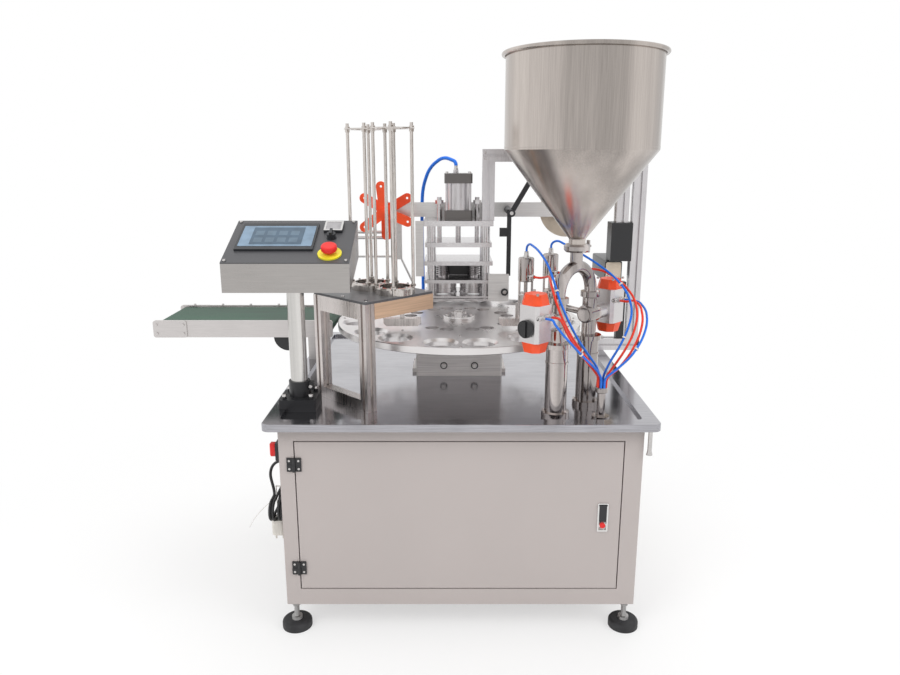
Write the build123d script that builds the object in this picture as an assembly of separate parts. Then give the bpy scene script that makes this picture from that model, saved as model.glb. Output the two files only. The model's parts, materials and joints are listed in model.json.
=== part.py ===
from build123d import *
import math
import os

# Cup filling and sealing machine: an eight-station turntable on a cabinet, with a cup dispenser,
# a hopper filler, a film sealing press, an outfeed belt and an operator box.
# Millimetres. The floor is z = 0 and the turntable turns about x = 0, y = 0, with +Y to the back.

# Table tray
table = 1000.0
rim_top = 600.0
rim_width = 40.0
rim_drop = 19.0
tray_depth = 9.0
tray_sheet = 3.0
tray_corner = 22.0
tray_z = rim_top - tray_depth
under_tray = tray_z - tray_sheet
drain_long = 77.0
drain_bore_r = 4.0

# Cabinet, its door and its feet
cabinet = 930.0
cabinet_z = 76.0
sheet = 3.0
frame_depth = 20.0
stile_left = 38.0
stile_right = 47.0
rail_top = 44.0
rail_bottom = 46.0
door_gap = 3.0
door_depth = 20.0
hinge_size = 37.0
hinge_leaf = 3.0
hinge_inset = 64.0
knuckle_r = 4.5
pin_r = 2.0
foot_x = 445.0
foot_r = 40.0
foot_thick = 22.0
stud_r = 7.0

# Running fits and gaps
fit = 0.08
gap = 0.3

# Door latch and main switch
latch_x = 370.0
latch_z = 332.0
latch_w = 28.0
latch_h = 80.0
latch_deep = 12.0
button_r = 7.5
button_travel = 3.0
switch_y = -430.0
switch_z = 508.0
switch_base = 46.0
switch_base_thick = 12.0

# Turntable and index drive
disc_r = 369.0
disc_top = 762.0
disc_thick = 20.0
stations = 8
pitch_r = 308.0
pair_angle = 10.0
cup_hole_r = 40.5
cup_seat_r = 48.5
inner_pitch_r = 155.0
inner_angle = 14.0
inner_hole_r = 20.0
hub_r = 30.0
hub_flange_r = 48.0
index_w = 262.0
index_y0 = -48.0
index_y1 = 152.0
index_top = disc_top - disc_thick - 2.0
hub_depth = 60.0

# Sealing press
press_depth = 180.0
press_y0 = pitch_r - press_depth / 2
press_y1 = pitch_r + press_depth / 2
press_half = 115.0
base_plate_z = disc_top + 12.0
base_plate = 7.0
film_slot = 2.0
top_plate_z = 1023.0
top_plate = 17.0
column_x = 91.0
column_inset = 18.0
column_y = (press_y0 + column_inset, press_y1 - column_inset)
column_r = 14.0
head_r = 48.5
head_z = 794.0
head_h = 39.0
plate_c = 11.0
plate_b_z = 893.0
plate_b = 14.0
plate_a_z = 954.0
plate_a = 15.0
plate_a_half = 110.0
loose = 1.0
guide_x = 64.0
guide_r = 8.0
guide_top = 1113.0
rod_r = 9.0
press_travel = 30.0
cylinder_cap = 92.0
cap_h = 31.0
cylinder_h = 151.0
port_x = -8.0
port_h = 12.0

# Film feed
bar_x0 = -268.0
bar_x1 = 404.0
bar_h = 50.0
bar_t = 8.0
bar_z = top_plate_z + top_plate
reel_z = bar_z + 22.0
unwind_arm_z = bar_z - 90.0
unwind_rods_z = (bar_z - 55.0, bar_z - 75.0)
film_guide_z = bar_z - 142.0
rod_x0 = -400.0
rod_x1 = -233.0
unwind_roll = 72.0
unwind_x = -252.0
rewind_x = 386.0
reel_shaft_r = 8.0
chuck_arm = 103.0
chuck_w = 34.0
chuck_t = 8.0
chuck_hub_r = 17.5
reel_r = 95.0

# Film frame of slotted aluminium profile
profile = 40.0
slot_w = 8.0
slot_d = 9.0
frame_y = press_y0 + 11.0
beam_z = 1229.0
post_x = 78.0
frame_end = 614.0
lower_x = 481.0
inner_x = 520.0
inner_z = 906.0
rewind_motor_h = 71.0
cover_h = 126.0
roller_r = 12.0
roller_pin_r = 6.0
upper_roller = (173.0, 1066.0)
lower_roller = (154.0, 806.0)
roller_y1 = press_y1 - 8.0
arm_t = 8.0

# Operator box
box_x = -432.0
column_place = (-431.0, -330.0)
box_w = 316.0
box_front = -430.0
box_depth = 191.0
box_z0 = 919.0
box_z1 = 991.0
box_rise = 86.0
box_drop = 64.0
box_sheet = 2.0
panel_t = 3.0
flange = 98.0
flange_t = 23.0
socket_r = 28.0
socket_top = 665.0
hmi_column_r = 22.5
screen_w = 197.0
screen_h = 130.0
meter = 48.0
collar_r = 30.0
mushroom_r = 20.0
estop_travel = 6.0

# Outfeed belt
belt_x0 = -896.0
belt_x1 = -372.0
belt_y = 118.0
rail_t = 8.0
rail_z = 730.0
rail_h = 50.0
belt_top = 776.0
belt_t = 2.0
belt_roller_r = 19.0
belt_pin_r = 6.0
roller_inset = 24.0
end_plate = 98.0

# Cup dispenser, square to the front left station
stand = (-243.0, -389.0)
stand_turn = 45.0
stand_a = 238.0
stand_b = 226.0
stand_post = 30.0
stand_top = 886.0
stand_plate = 6.0
side_panel_h = 42.0
magazine_a = 143.5
magazine_b = (50.2, 156.3)
ring_h = 20.0
ring_r = 53.0
magazine_bore = 41.0
magazine_rod_pitch = 50.0
magazine_rod_r = 4.5
magazine_top = 1331.0
magazine_plate_z = 1315.0
magazine_plate = 3.0

# Filler, along the line u that runs at 45 degrees past the front right station
fill_along = -42.0
fill_out = 457.0
fill_turn = 45.0
fill_pitch = 136.0
tank_r = 28.0
tank_bore = 24.0
tank_top = 785.0
valve_top = 888.0
valve_z = 842.0
pipe_r = 16.0
pipe_bore = 14.0
arch_z = 973.0
clamp_z = 1011.0
clamp_h = 20.0
clamp_r = 33.0
outlet_r = 21.0
cone_z = 1044.0
cone_top = 1261.0
hopper_r = 188.0
hopper_top = 1488.0
hopper_sheet = 1.5
cone_lip = 6.0
rim_roll = 5.0
actuator_at = 161.0
actuator_w = 62.0
actuator_z0 = 781.0
actuator_z1 = 925.0
stem_r = 8.0
plug_r = 13.0
dome_r = 22.0
nozzle_r = 21.0
nozzle_body_r = 20.0
nozzle_z = 919.0
nozzle_top = 983.0
nozzle_body_z = 775.0
nozzle_body_top = 884.0
needle_r = 5.0
needle_travel = 12.0
dosing_travel = 90.0
piston_z = 640.0

guide_y = -151.0
guide_bracket_z = 834.0

# Hose and cord sizes
hose_r = 3.0
seal_hose_r = 6.0
conduit = (359.0, -425.0)
conduit_r = 10.5
conduit_cap_r = 16.0
conduit_top = 675.0
cord_r = 4.0

cup_pitch = pitch_r * math.sin(math.radians(pair_angle))
head_y = pitch_r * math.cos(math.radians(pair_angle))
slant = math.sqrt(0.5)
fill_centre = ((fill_along + fill_out) * slant, (fill_along - fill_out) * slant)
centre_x = (belt_x0 + frame_end + 6.0) / 2
centre_y = (fill_centre[1] - hopper_r - rim_roll * 2 + table / 2) / 2


def block(x0, x1, y0, y1, z0, z1):
    """A box between six planes."""
    middle = Pos((x0 + x1) / 2, (y0 + y1) / 2, (z0 + z1) / 2)
    return middle * Box(x1 - x0, y1 - y0, z1 - z0)


def upright(x, y, z0, z1, r):
    """A cylinder along Z."""
    return Pos(x, y, (z0 + z1) / 2) * Cylinder(r, z1 - z0)


def bar_along_y(x, z, y0, y1, r):
    """A cylinder along Y."""
    return Pos(x, (y0 + y1) / 2, z) * Rot(90, 0, 0) * Cylinder(r, y1 - y0)


def bar_along_x(y, z, x0, x1, r):
    """A cylinder along X."""
    return Pos((x0 + x1) / 2, y, z) * Rot(0, 90, 0) * Cylinder(r, x1 - x0)


def turned(point, angle, piece):
    """A piece drawn about the origin, turned about Z and moved to a place on the table."""
    return Pos(point[0], point[1], 0) * Rot(0, 0, angle) * piece


def cut(piece, *tools):
    """The piece with each tool taken away."""
    for tool in tools:
        piece = piece - tool
    return piece


def fused(*pieces):
    """One solid of several that overlap."""
    whole = pieces[0]
    for piece in pieces[1:]:
        whole = whole + piece
    return whole


def save(node, *pieces):
    """Writes one sub-part, centred over the middle of the whole machine."""
    solids = [solid for piece in pieces for solid in piece.solids()]
    whole = Compound(children=[Pos(-centre_x, -centre_y, 0) * solid for solid in solids])
    whole.label = node
    export_step(whole, f"parts/{node}.step")


# Cabinet

half = cabinet / 2
front = -half
door_x0 = -half + stile_left
door_x1 = half - stile_right
door_z0 = cabinet_z + rail_bottom
door_z1 = under_tray - rail_top
hinge_y = front - knuckle_r - gap
hinge_levels = (door_z0 + hinge_inset, door_z1 - hinge_inset)


def cabinet_shell():
    """Sheet walls and floor behind a front frame of four folded members."""
    low = cabinet_z
    high = under_tray
    back = front + frame_depth
    walls = [
        block(-half, -half + sheet, back, half, low, high),
        block(half - sheet, half, back, half, low, high),
        block(-half + sheet, half - sheet, half - sheet, half, low, high),
        block(-half + sheet, half - sheet, back, half - sheet, low, low + sheet),
    ]
    frame = [
        block(-half, door_x0, front, back, low, high),
        block(door_x1, half, front, back, low, high),
        block(door_x0, door_x1, front, back, low, door_z0),
        block(door_x0, door_x1, front, back, door_z1, high),
    ]
    save("cabinet_shell", *walls, *frame)


def feet():
    """Four rubber pads on threaded studs, each with its lock nut."""
    pads = []
    studs = []
    for x in (-foot_x, foot_x):
        for y in (-foot_x, foot_x):
            pad = upright(x, y, 0, foot_thick, foot_r)
            pads.append(fillet(pad.edges().sort_by(Axis.Z)[-1], foot_thick * 0.4))
            boss = upright(x, y, foot_thick, foot_thick + 8, stud_r * 2)
            stud = upright(x, y, foot_thick + 8, cabinet_z, stud_r)
            nut = Pos(x, y, cabinet_z - 12) * extrude(RegularPolygon(stud_r * 1.8, 6), 10)
            studs.append(fused(boss, stud, nut))
    save("foot_pads", *pads)
    save("foot_studs", *studs)


def hinge_half(side, level, z0, z1):
    """One leaf with its knuckle, flat on the cabinet's front; side is -1 on the frame, 1 on the door."""
    near = door_x0 + side * (knuckle_r - 1)
    far = door_x0 + side * hinge_size / 2
    leaf_y = front - hinge_leaf
    z_low = level - hinge_size / 2
    leaf = block(min(near, far), max(near, far), leaf_y, front, z_low, z_low + hinge_size)
    web = block(min(door_x0, far), max(door_x0, far), leaf_y - 1, leaf_y + 1, z0, z1)
    knuckle = upright(door_x0, hinge_y, z0, z1, knuckle_r)
    return fused(leaf, web, knuckle)


def hinges_and_switch_base():
    """The fixed halves of both door hinges, and the main switch's base and cord gland on the left wall."""
    fixed = []
    swinging = []
    for level in hinge_levels:
        low = level - hinge_size / 2
        high = level + hinge_size / 2
        pin_hole = upright(door_x0, hinge_y, low - 1, level + 1, pin_r + fit)
        pin = upright(door_x0, hinge_y, low + 1, level + 2, pin_r)
        moving_room = upright(door_x0, hinge_y, level - gap, high + 1, knuckle_r + gap)
        fixed_room = upright(door_x0, hinge_y, low - 1, level + gap, knuckle_r + gap)
        fixed.append(cut(hinge_half(-1, level, low, level - gap / 2), pin_hole, moving_room))
        swinging.append(fused(cut(hinge_half(1, level, level + gap / 2, high), fixed_room), pin))
    base = block(
        -half - switch_base_thick, -half,
        switch_y - switch_base / 2, switch_y + switch_base / 2,
        switch_z - switch_base / 2, switch_z + switch_base / 2,
    )
    base = cut(base, bar_along_x(switch_y, switch_z, -half - switch_base_thick - 1, -half - 2, 4 + fit))
    y, z = gland_at
    gland = bar_along_x(y, z, -half - gland_out, -half, 8)
    gland_nut = bar_along_x(y, z, -half - 8, -half, 12)
    save("cabinet_fittings", *fixed, base, fused(gland, gland_nut))
    return swinging


def main_switch():
    """A round knob with a grip bar, on a short shaft in the base."""
    face = -half - switch_base_thick - gap
    disc = bar_along_x(switch_y, switch_z, face - 6, face, 19)
    grip = block(face - 18, face - 5, switch_y - 6, switch_y + 6, switch_z - 18, switch_z + 18)
    grip = chamfer(grip.edges().group_by(Axis.X)[0], 3)
    shaft = bar_along_x(switch_y, switch_z, face - 1, -half - 3, 4)
    save("switch_knob", fused(disc, grip, shaft))


def door():
    """A pan door with the latch cut-out."""
    x0 = door_x0 + door_gap
    x1 = door_x1 - door_gap
    z0 = door_z0 + door_gap
    z1 = door_z1 - door_gap
    outside = block(x0, x1, front, front + door_depth, z0, z1)
    inside = block(x0 + sheet, x1 - sheet, front + sheet, front + door_depth + 1, z0 + sheet, z1 - sheet)
    hole = block(
        latch_x - latch_w / 2 + 2, latch_x + latch_w / 2 - 2, front - 1, front + sheet + 1,
        latch_z - latch_h / 2 + 2, latch_z + latch_h / 2 - 2,
    )
    save("door_panel", cut(outside, inside, hole))


def latch(swinging_leaves):
    """The door's hinge leaves, and a sunk paddle latch with its cup, pin and push button."""
    w = latch_w / 2
    h = latch_h / 2
    lip_y = front - 2.5
    deep_y = front + latch_deep
    lip = block(latch_x - w, latch_x + w, lip_y, front, latch_z - h, latch_z + h)
    lip = fillet(lip.edges().filter_by(Axis.Y), 3)
    cup = block(latch_x - w + 2, latch_x + w - 2, front, deep_y, latch_z - h + 2, latch_z + h - 2)
    pocket = block(latch_x - w + 4, latch_x + w - 4, lip_y - 1, deep_y - 2, latch_z - h + 4, latch_z + h - 3)
    button_z = latch_z - h + 18
    pin_z = latch_z + h - 6
    collar = bar_along_y(latch_x, button_z, front, deep_y - 1, button_r + 1.5)
    bore = bar_along_y(latch_x, button_z, lip_y - 1, deep_y - 2, button_r + fit)
    pin_bore = bar_along_x(lip_y, pin_z, latch_x - w + 2.5, latch_x + w - 2.5, 1.5 + fit)
    housing = cut(fused(cut(fused(lip, cup), pocket), collar), bore, pin_bore)
    save("door_fittings", housing, *swinging_leaves)
    paddle_w = w - 4.5
    paddle = block(
        latch_x - paddle_w, latch_x + paddle_w, lip_y - 2, lip_y + 2, button_z + button_r + 4, pin_z + 1.2
    )
    pin = bar_along_x(lip_y, pin_z, latch_x - w + 3, latch_x + w - 3, 1.5)
    save("latch_paddle", fused(paddle, pin))
    button = bar_along_y(latch_x, button_z, lip_y - 2, deep_y - 2 - button_travel - gap, button_r)
    save("latch_button", button)


# Table


def table_tray():
    """A shallow tray with a flat rim and a turned-down outer lip."""
    t = table / 2
    inner = t - rim_width
    plate = block(-t, t, -t, t, rim_top - rim_drop, rim_top)
    plate = fillet(plate.edges().filter_by(Axis.Z), tray_corner)
    plate = fillet(plate.edges().group_by(Axis.Z)[-1], 3)
    recess = block(-inner, inner, -inner, inner, tray_z, rim_top + 1)
    recess = fillet(recess.edges().filter_by(Axis.Z), tray_corner * 0.6)
    below = block(-t + sheet, t - sheet, -t + sheet, t - sheet, rim_top - rim_drop - 1, under_tray)
    below = fillet(below.edges().filter_by(Axis.Z), tray_corner - sheet)
    tray = cut(plate, recess, below)
    for place in tank_places():
        tray = tray - upright(place[0], place[1], under_tray - 1, tray_z + 1, needle_r + 2)
    save("table_tray", tray)


def drain_spout():
    """A drain tube under the table's front right corner, flared at its mouth."""
    x = half + 12
    y = front - 11
    low = under_tray - drain_long
    tube = upright(x, y, low, under_tray, drain_bore_r + 1.5)
    flare = Pos(x, y, low + 6) * Cone(drain_bore_r + 4, drain_bore_r + 1.5, 12)
    bore = upright(x, y, low - 1, under_tray - 4, drain_bore_r)
    save("drain_spout", cut(fused(tube, flare), bore))


def index_housing():
    """The indexing gearbox under the turntable, with two cap bolts in front."""
    middle = (index_y0 + index_y1) / 2
    body = block(-index_w / 2, index_w / 2, index_y0, index_y1, tray_z, index_top)
    body = chamfer(body.edges().filter_by(Axis.Z), 4)
    body = cut(body, upright(0, 0, index_top - hub_depth, index_top + 1, hub_r + fit))
    flange_foot = block(
        -index_w / 2 - 14, index_w / 2 + 14, middle - 60, middle + 60, tray_z, tray_z + 12
    )
    bolts = [bar_along_y(x, 624, index_y0 - 6, index_y0 + 1, 7) for x in (-47, 47)]
    save("index_housing", fused(body, flange_foot, *bolts))


def station_places():
    """The sixteen cup hole centres: two at each of the eight stations."""
    places = []
    for station in range(stations):
        middle = 90 + station * 360 / stations
        for side in (-pair_angle, pair_angle):
            a = math.radians(middle + side)
            places.append((pitch_r * math.cos(a), pitch_r * math.sin(a)))
    return places


def turntable():
    """The station disc: sixteen countersunk cup holes, and small holes inside them."""
    disc = upright(0, 0, disc_top - disc_thick, disc_top, disc_r)
    disc = chamfer(disc.edges(), 1.5)
    disc = disc - upright(0, 0, disc_top - disc_thick - 1, disc_top + 1, hub_r)
    seat = cup_seat_r - cup_hole_r
    for x, y in station_places():
        disc = disc - upright(x, y, disc_top - disc_thick - 1, disc_top + 1, cup_hole_r)
        disc = disc - Pos(x, y, disc_top - seat / 2) * Cone(cup_hole_r, cup_seat_r, seat)
    for station in range(stations):
        for side in (-inner_angle, inner_angle):
            a = math.radians(90 + station * 360 / stations + side)
            x = inner_pitch_r * math.cos(a)
            y = inner_pitch_r * math.sin(a)
            disc = disc - upright(x, y, disc_top - disc_thick - 1, disc_top + 1, inner_hole_r)
    save("turntable", disc)


def turntable_hub():
    """The hub on the output shaft, with a flange over the disc, a dome nut and six bolts."""
    shaft = upright(0, 0, index_top - hub_depth + 1, disc_top, hub_r)
    top = upright(0, 0, disc_top, disc_top + 10, hub_flange_r)
    top = chamfer(top.edges().sort_by(Axis.Z)[-1], 2)
    nut = Pos(0, 0, disc_top + 9) * extrude(RegularPolygon(15, 6), 12)
    bolts = []
    for n in range(6):
        a = math.radians(60 * n)
        bolts.append(upright(36 * math.cos(a), 36 * math.sin(a), disc_top + 9, disc_top + 15, 5))
    save("turntable_hub", fused(shaft, top, nut, *bolts))


# Sealing press

press_mid = (press_y0 + press_y1) / 2
head_places = ((-cup_pitch, head_y), (cup_pitch, head_y))
plate_c_z = head_z + head_h
moving_half = press_half - 1


def column_holes(z0, z1, clearance):
    """Holes for the four outer columns."""
    r = column_r + clearance
    return [upright(x, y, z0 - 1, z1 + 1, r) for x in (-column_x, column_x) for y in column_y]


def seal_frame():
    """Four columns that carry two base plates, with a slot for the film between, and the top plate."""
    lower_z = base_plate_z
    upper_z = lower_z + base_plate + film_slot
    columns = []
    for x in (-column_x, column_x):
        columns.append(upright(x, column_y[0], lower_z, top_plate_z + top_plate, column_r))
        columns.append(upright(x, column_y[1], tray_z, top_plate_z + top_plate, column_r))
    plates = []
    for z0, z1 in ((lower_z, lower_z + base_plate), (upper_z, upper_z + base_plate)):
        plate = block(-press_half, press_half, press_y0, press_y1, z0, z1)
        heads = [upright(x, y, z0 - 1, z1 + 1, head_r + 2) for x, y in head_places]
        plates.append(cut(plate, *column_holes(z0, z1, 0), *heads))
    z0 = top_plate_z
    z1 = top_plate_z + top_plate
    top = block(-press_half, press_half, press_y0, press_y1, z0, z1)
    guides = [upright(x, press_mid, z0 - 1, z1 + 1, guide_r + fit) for x in (-guide_x, guide_x)]
    rod_hole = upright(0, press_mid, z0 - 1, z1 + 1, rod_r + 2)
    plates.append(cut(top, *column_holes(z0, z1, 0), *guides, rod_hole))
    save("seal_frame", *columns, *plates)


def press_plates():
    """The three plates that travel together on the columns, with their spacers and guide rods."""
    a0 = plate_a_z
    b0 = plate_b_z
    c0 = plate_c_z
    a1 = a0 + plate_a
    b1 = b0 + plate_b
    c1 = c0 + plate_c
    y0 = press_y0 + 1
    plate_upper = block(-plate_a_half, plate_a_half, y0, press_y1 - 1, a0, a1)
    plate_middle = block(-moving_half, moving_half, y0, press_y1 - 1, b0, b1)
    plate_lower = block(-moving_half, moving_half, y0, press_y1 - 1, c0, c1)
    pieces = [
        cut(plate_upper, *column_holes(a0, a1, loose)),
        cut(plate_middle, *column_holes(b0, b1, fit)),
        cut(plate_lower, *column_holes(c0, c1, loose)),
    ]
    for x in (-94, 94):
        pieces.append(block(x - 8, x + 8, press_mid - 12, press_mid + 12, b1, a0))
    for x in (-81, 81):
        for y in (press_mid - 45, press_mid + 45):
            pieces.append(upright(x, y, c1, b0, 4))
    for x, y in head_places:
        pieces.append(upright(x, y, c1, b0, 15))
    for x in (-guide_x, guide_x):
        rod = upright(x, press_mid, a1, guide_top, guide_r)
        neck = upright(x, press_mid, guide_top - 34, guide_top - 22, guide_r + 2) - upright(
            x, press_mid, guide_top - 35, guide_top - 21, guide_r - 2
        )
        nut = Pos(x, press_mid, guide_top - 22) * extrude(RegularPolygon(14, 6), 12)
        pieces.append(fused(cut(rod, neck), nut))
    pieces.append(upright(0, press_mid, a1, top_plate_z + top_plate + press_travel + 40, rod_r))
    save("press_plates", *pieces)


def seal_heads():
    """Two heated sealing heads, sized to a cup's rim."""
    heads = []
    for x, y in head_places:
        head = upright(x, y, head_z, plate_c_z, head_r)
        head = chamfer(head.edges().sort_by(Axis.Z)[-1], 2)
        groove = upright(x, y, head_z + 14, head_z + 18, head_r + 1) - upright(
            x, y, head_z + 13, head_z + 19, head_r - 2.5
        )
        dish = upright(x, y, head_z - 1, head_z + 3, head_r - 9)
        heads.append(cut(head, groove, dish))
    save("seal_heads", *heads)


def seal_cylinder():
    """The press's air cylinder: two square caps, a tube and four tie rods."""
    z0 = top_plate_z + top_plate
    z1 = z0 + cylinder_h
    half_cap = cylinder_cap / 2
    caps = []
    for low in (z0, z1 - cap_h):
        cap = block(-half_cap, half_cap, press_mid - half_cap, press_mid + half_cap, low, low + cap_h)
        caps.append(fillet(cap.edges().filter_by(Axis.Z), 8))
    tube = upright(0, press_mid, z0 + cap_h, z1 - cap_h, half_cap - 5)
    ties = [
        upright(x, press_mid + y, z0 + cap_h, z1 - cap_h, 4)
        for x in (-half_cap + 7, half_cap - 7) for y in (-half_cap + 7, half_cap - 7)
    ]
    port = upright(port_x, press_mid, z1, z1 + port_h, 9)
    bore = upright(0, press_mid, z0 - 1, z0 + press_travel + 42, rod_r + fit)
    save("seal_cylinder", cut(caps[0], bore), cut(tube, bore), caps[1], *ties, port)


# Film feed


def film_bar():
    """The flat bar behind the press that carries both reels, its feet, and the unwind side's rods."""
    y0 = press_y1
    y1 = y0 + bar_t
    bar = block(bar_x0, bar_x1, y0, y1, bar_z, bar_z + bar_h)
    bar = chamfer(bar.edges().filter_by(Axis.Y), 6)
    for x in (unwind_x, rewind_x):
        bar = bar - bar_along_y(x, reel_z, y0 - 1, y1 + 1, reel_shaft_r + fit)
    feet = [block(x - 12, x + 12, y0 - 20, y0, bar_z, bar_z + bar_h * 0.7) for x in (-70, 70)]
    mid = y1 + 8
    arm_block = block(rod_x1, rod_x1 + 34, y1, mid + 8, unwind_arm_z, bar_z + bar_h - 8)
    rods = [bar_along_x(mid, z, rod_x0, rod_x1, 6) for z in unwind_rods_z]
    rods.append(bar_along_x(mid, film_guide_z, rod_x0, rod_x1 + 16, 4))
    low = film_guide_z - 10
    drop = block(rod_x1 + 16, rod_x1 + 34, mid - 6, mid + 6, low, unwind_arm_z)
    end = block(rod_x0 - 12, rod_x0, mid - 10, mid + 10, low, unwind_rods_z[0] + 15)
    guide = Pos(rod_x1 + 48.5, mid, low - 36) * Rot(0, -25, 0) * Box(6, 14, 120)
    save("film_bar", bar, *feet, arm_block, *rods, fused(drop, guide), end)


def three_arm_chuck(y0, y1, first_angle):
    """One reel clamp: three rounded arms round a hub, with a small hole near each tip."""
    whole = bar_along_y(0, 0, y0, y1, chuck_hub_r + 8)
    for n in range(3):
        turn = Rot(0, -(first_angle + 120 * n), 0)
        long = chuck_arm - chuck_w / 2
        arm = block(0, long, y0, y1, -chuck_w / 2, chuck_w / 2)
        tip = bar_along_y(long, 0, y0, y1, chuck_w / 2)
        hole = bar_along_y(long, 0, y0 - 1, y1 + 1, 4)
        whole = whole + turn * fused(arm, tip)
        whole = whole - turn * hole
    return Pos(unwind_x, 0, reel_z) * whole


def unwind_chucks():
    """The film roll's shaft with a chuck at each end of the roll."""
    y_front = press_y1 - unwind_roll
    y_back = press_y1 - gap - chuck_t
    front_chuck = three_arm_chuck(y_front, y_front + chuck_t, 97)
    back_chuck = three_arm_chuck(y_back, y_back + chuck_t, 30)
    shaft = bar_along_y(unwind_x, reel_z, y_front - 14, press_y1 + bar_t + 10, reel_shaft_r)
    hub = bar_along_y(unwind_x, reel_z, y_front - 6, y_back - 4, chuck_hub_r)
    stop = bar_along_y(unwind_x, reel_z, press_y1 + bar_t + gap, press_y1 + bar_t + 9, reel_shaft_r + 5)
    core = fused(shaft, hub, stop)
    save("unwind_chucks", cut(front_chuck, core), cut(back_chuck, core), core)


def rewind_reel():
    """The waste film's reel: a disc and core behind the bar, with a crank knob."""
    y0 = press_y1 + bar_t
    shaft = bar_along_y(rewind_x, reel_z, press_y1 - 10, y0 + 60, reel_shaft_r)
    collar = bar_along_y(rewind_x, reel_z, press_y1 - 10, press_y1 - gap, reel_shaft_r + 5)
    core = bar_along_y(rewind_x, reel_z, y0 + gap, y0 + 60, 30)
    disc = bar_along_y(rewind_x, reel_z, y0 + 24, y0 + 30, reel_r)
    stem = bar_along_y(rewind_x - 29, reel_z + 62, y0 + 12, y0 + 25, 3)
    ball = Pos(rewind_x - 29, y0 + 10, reel_z + 62) * Sphere(8)
    save("rewind_reel", fused(shaft, collar, core, disc, stem, ball))


def slotted(length):
    """Square profile with a slot along each side, standing on z = 0."""
    section = Rectangle(profile, profile)
    for turn in range(4):
        place = Rot(0, 0, 90 * turn) * Pos(profile / 2 - slot_d / 2, 0)
        section = section - place * Rectangle(slot_d, slot_w)
    return extrude(section, length)


def film_frame():
    """The goalpost of slotted profile that carries the film rollers and the rewind drive."""
    mid_y = frame_y + profile / 2
    mid = profile / 2
    post = Pos(post_x + mid, mid_y, bar_z) * slotted(beam_z - bar_z)
    beam = Pos(post_x, mid_y, beam_z + mid) * Rot(0, 90, 0) * slotted(frame_end - post_x)
    lower_top = rim_top + profile
    outer = Pos(frame_end - mid, mid_y, lower_top) * slotted(beam_z - lower_top)
    lower = Pos(lower_x, mid_y, rim_top + mid) * Rot(0, 90, 0) * slotted(frame_end - lower_x)
    inner = Pos(inner_x + mid, mid_y, inner_z) * slotted(beam_z - inner_z)
    save("film_frame", post, beam, outer, lower, inner)


def film_brackets():
    """Dark arms for the film rollers, the film sensor, the profile's end caps and the drive's cover."""
    y1 = frame_y
    y0 = y1 - arm_t
    (ux, uz) = upper_roller
    (lx, lz) = lower_roller
    rise = beam_z + 8 - uz
    run = 272 - ux
    length = math.hypot(run, rise)
    slope = math.degrees(math.atan2(rise, run))
    from_pin = Pos(ux, (y0 + y1) / 2, uz) * Rot(0, -slope, 0)
    diagonal = from_pin * Pos(length / 2, 0, 0) * Box(length + 16, arm_t, 16)
    upper_pin = bar_along_y(ux, uz, y0 - 20, y1 + 1, roller_pin_r + fit)
    hanger = block(ux - 14, ux, y0 - arm_t, y0, 860, uz + 12)
    plate = block(100, lx + 14, press_y0 - arm_t, press_y0, base_plate_z, 866)
    lower_pin = bar_along_y(lx, lz, press_y0 - arm_t - 1, press_y0 + 1, roller_pin_r + fit)
    sensor = block(ux - 38, ux - 14, y0 - arm_t - 3, y0 + 3, 990, 1018)
    side = block(-142, -press_half - gap, press_y0 + 1, press_y0 + 1 + arm_t, bar_z - 183, bar_z)
    caps = [
        block(frame_end, frame_end + 6, frame_y, frame_y + profile, z, z + profile) for z in (rim_top, beam_z)
    ]
    motor_z = inner_z - rewind_motor_h
    strip = block(inner_x + 20, inner_x + 46, frame_y + 7, frame_y + 33, rim_top + profile, motor_z)
    cover_z = inner_z + 2
    cover = block(
        inner_x - 17, inner_x + profile + 13, frame_y - 14, frame_y + profile + 14, cover_z, cover_z + cover_h
    )
    post_room = block(
        inner_x, inner_x + profile, frame_y, frame_y + profile, cover_z - 8, cover_z + cover_h + 6
    )
    save(
        "film_brackets",
        cut(diagonal, upper_pin), cut(hanger, upper_pin), cut(plate, lower_pin), sensor, side, *caps, strip,
        cut(cover, post_room),
    )


def rewind_motor():
    """The rewind drive's gear motor, with a plain front cover."""
    body = block(inner_x - 30, inner_x + 27, frame_y, frame_y + 219, inner_z - rewind_motor_h, inner_z)
    body = fillet(body.edges().filter_by(Axis.Y), 5)
    save("rewind_motor", body)


def film_rollers():
    """Two idler rollers that turn on stubs in the arms."""
    for node, (x, z), seat, start in (
        ("upper_roller", upper_roller, frame_y - arm_t * 2, frame_y + gap),
        ("lower_roller", lower_roller, press_y0 - arm_t, press_y0 + gap),
    ):
        roller = bar_along_y(x, z, start, roller_y1, roller_r)
        roller = chamfer(roller.edges(), 1.5)
        stub = bar_along_y(x, z, seat - 2, start + 2, roller_pin_r)
        save(node, fused(roller, stub))


# Operator box


def between(start, end, r):
    """A straight cylinder from one point to another."""
    run = Vector(*end) - Vector(*start)
    place = Plane(origin=start, z_dir=run)
    return place * Cylinder(r, run.length, align=(Align.CENTER, Align.CENTER, Align.MIN))


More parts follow.
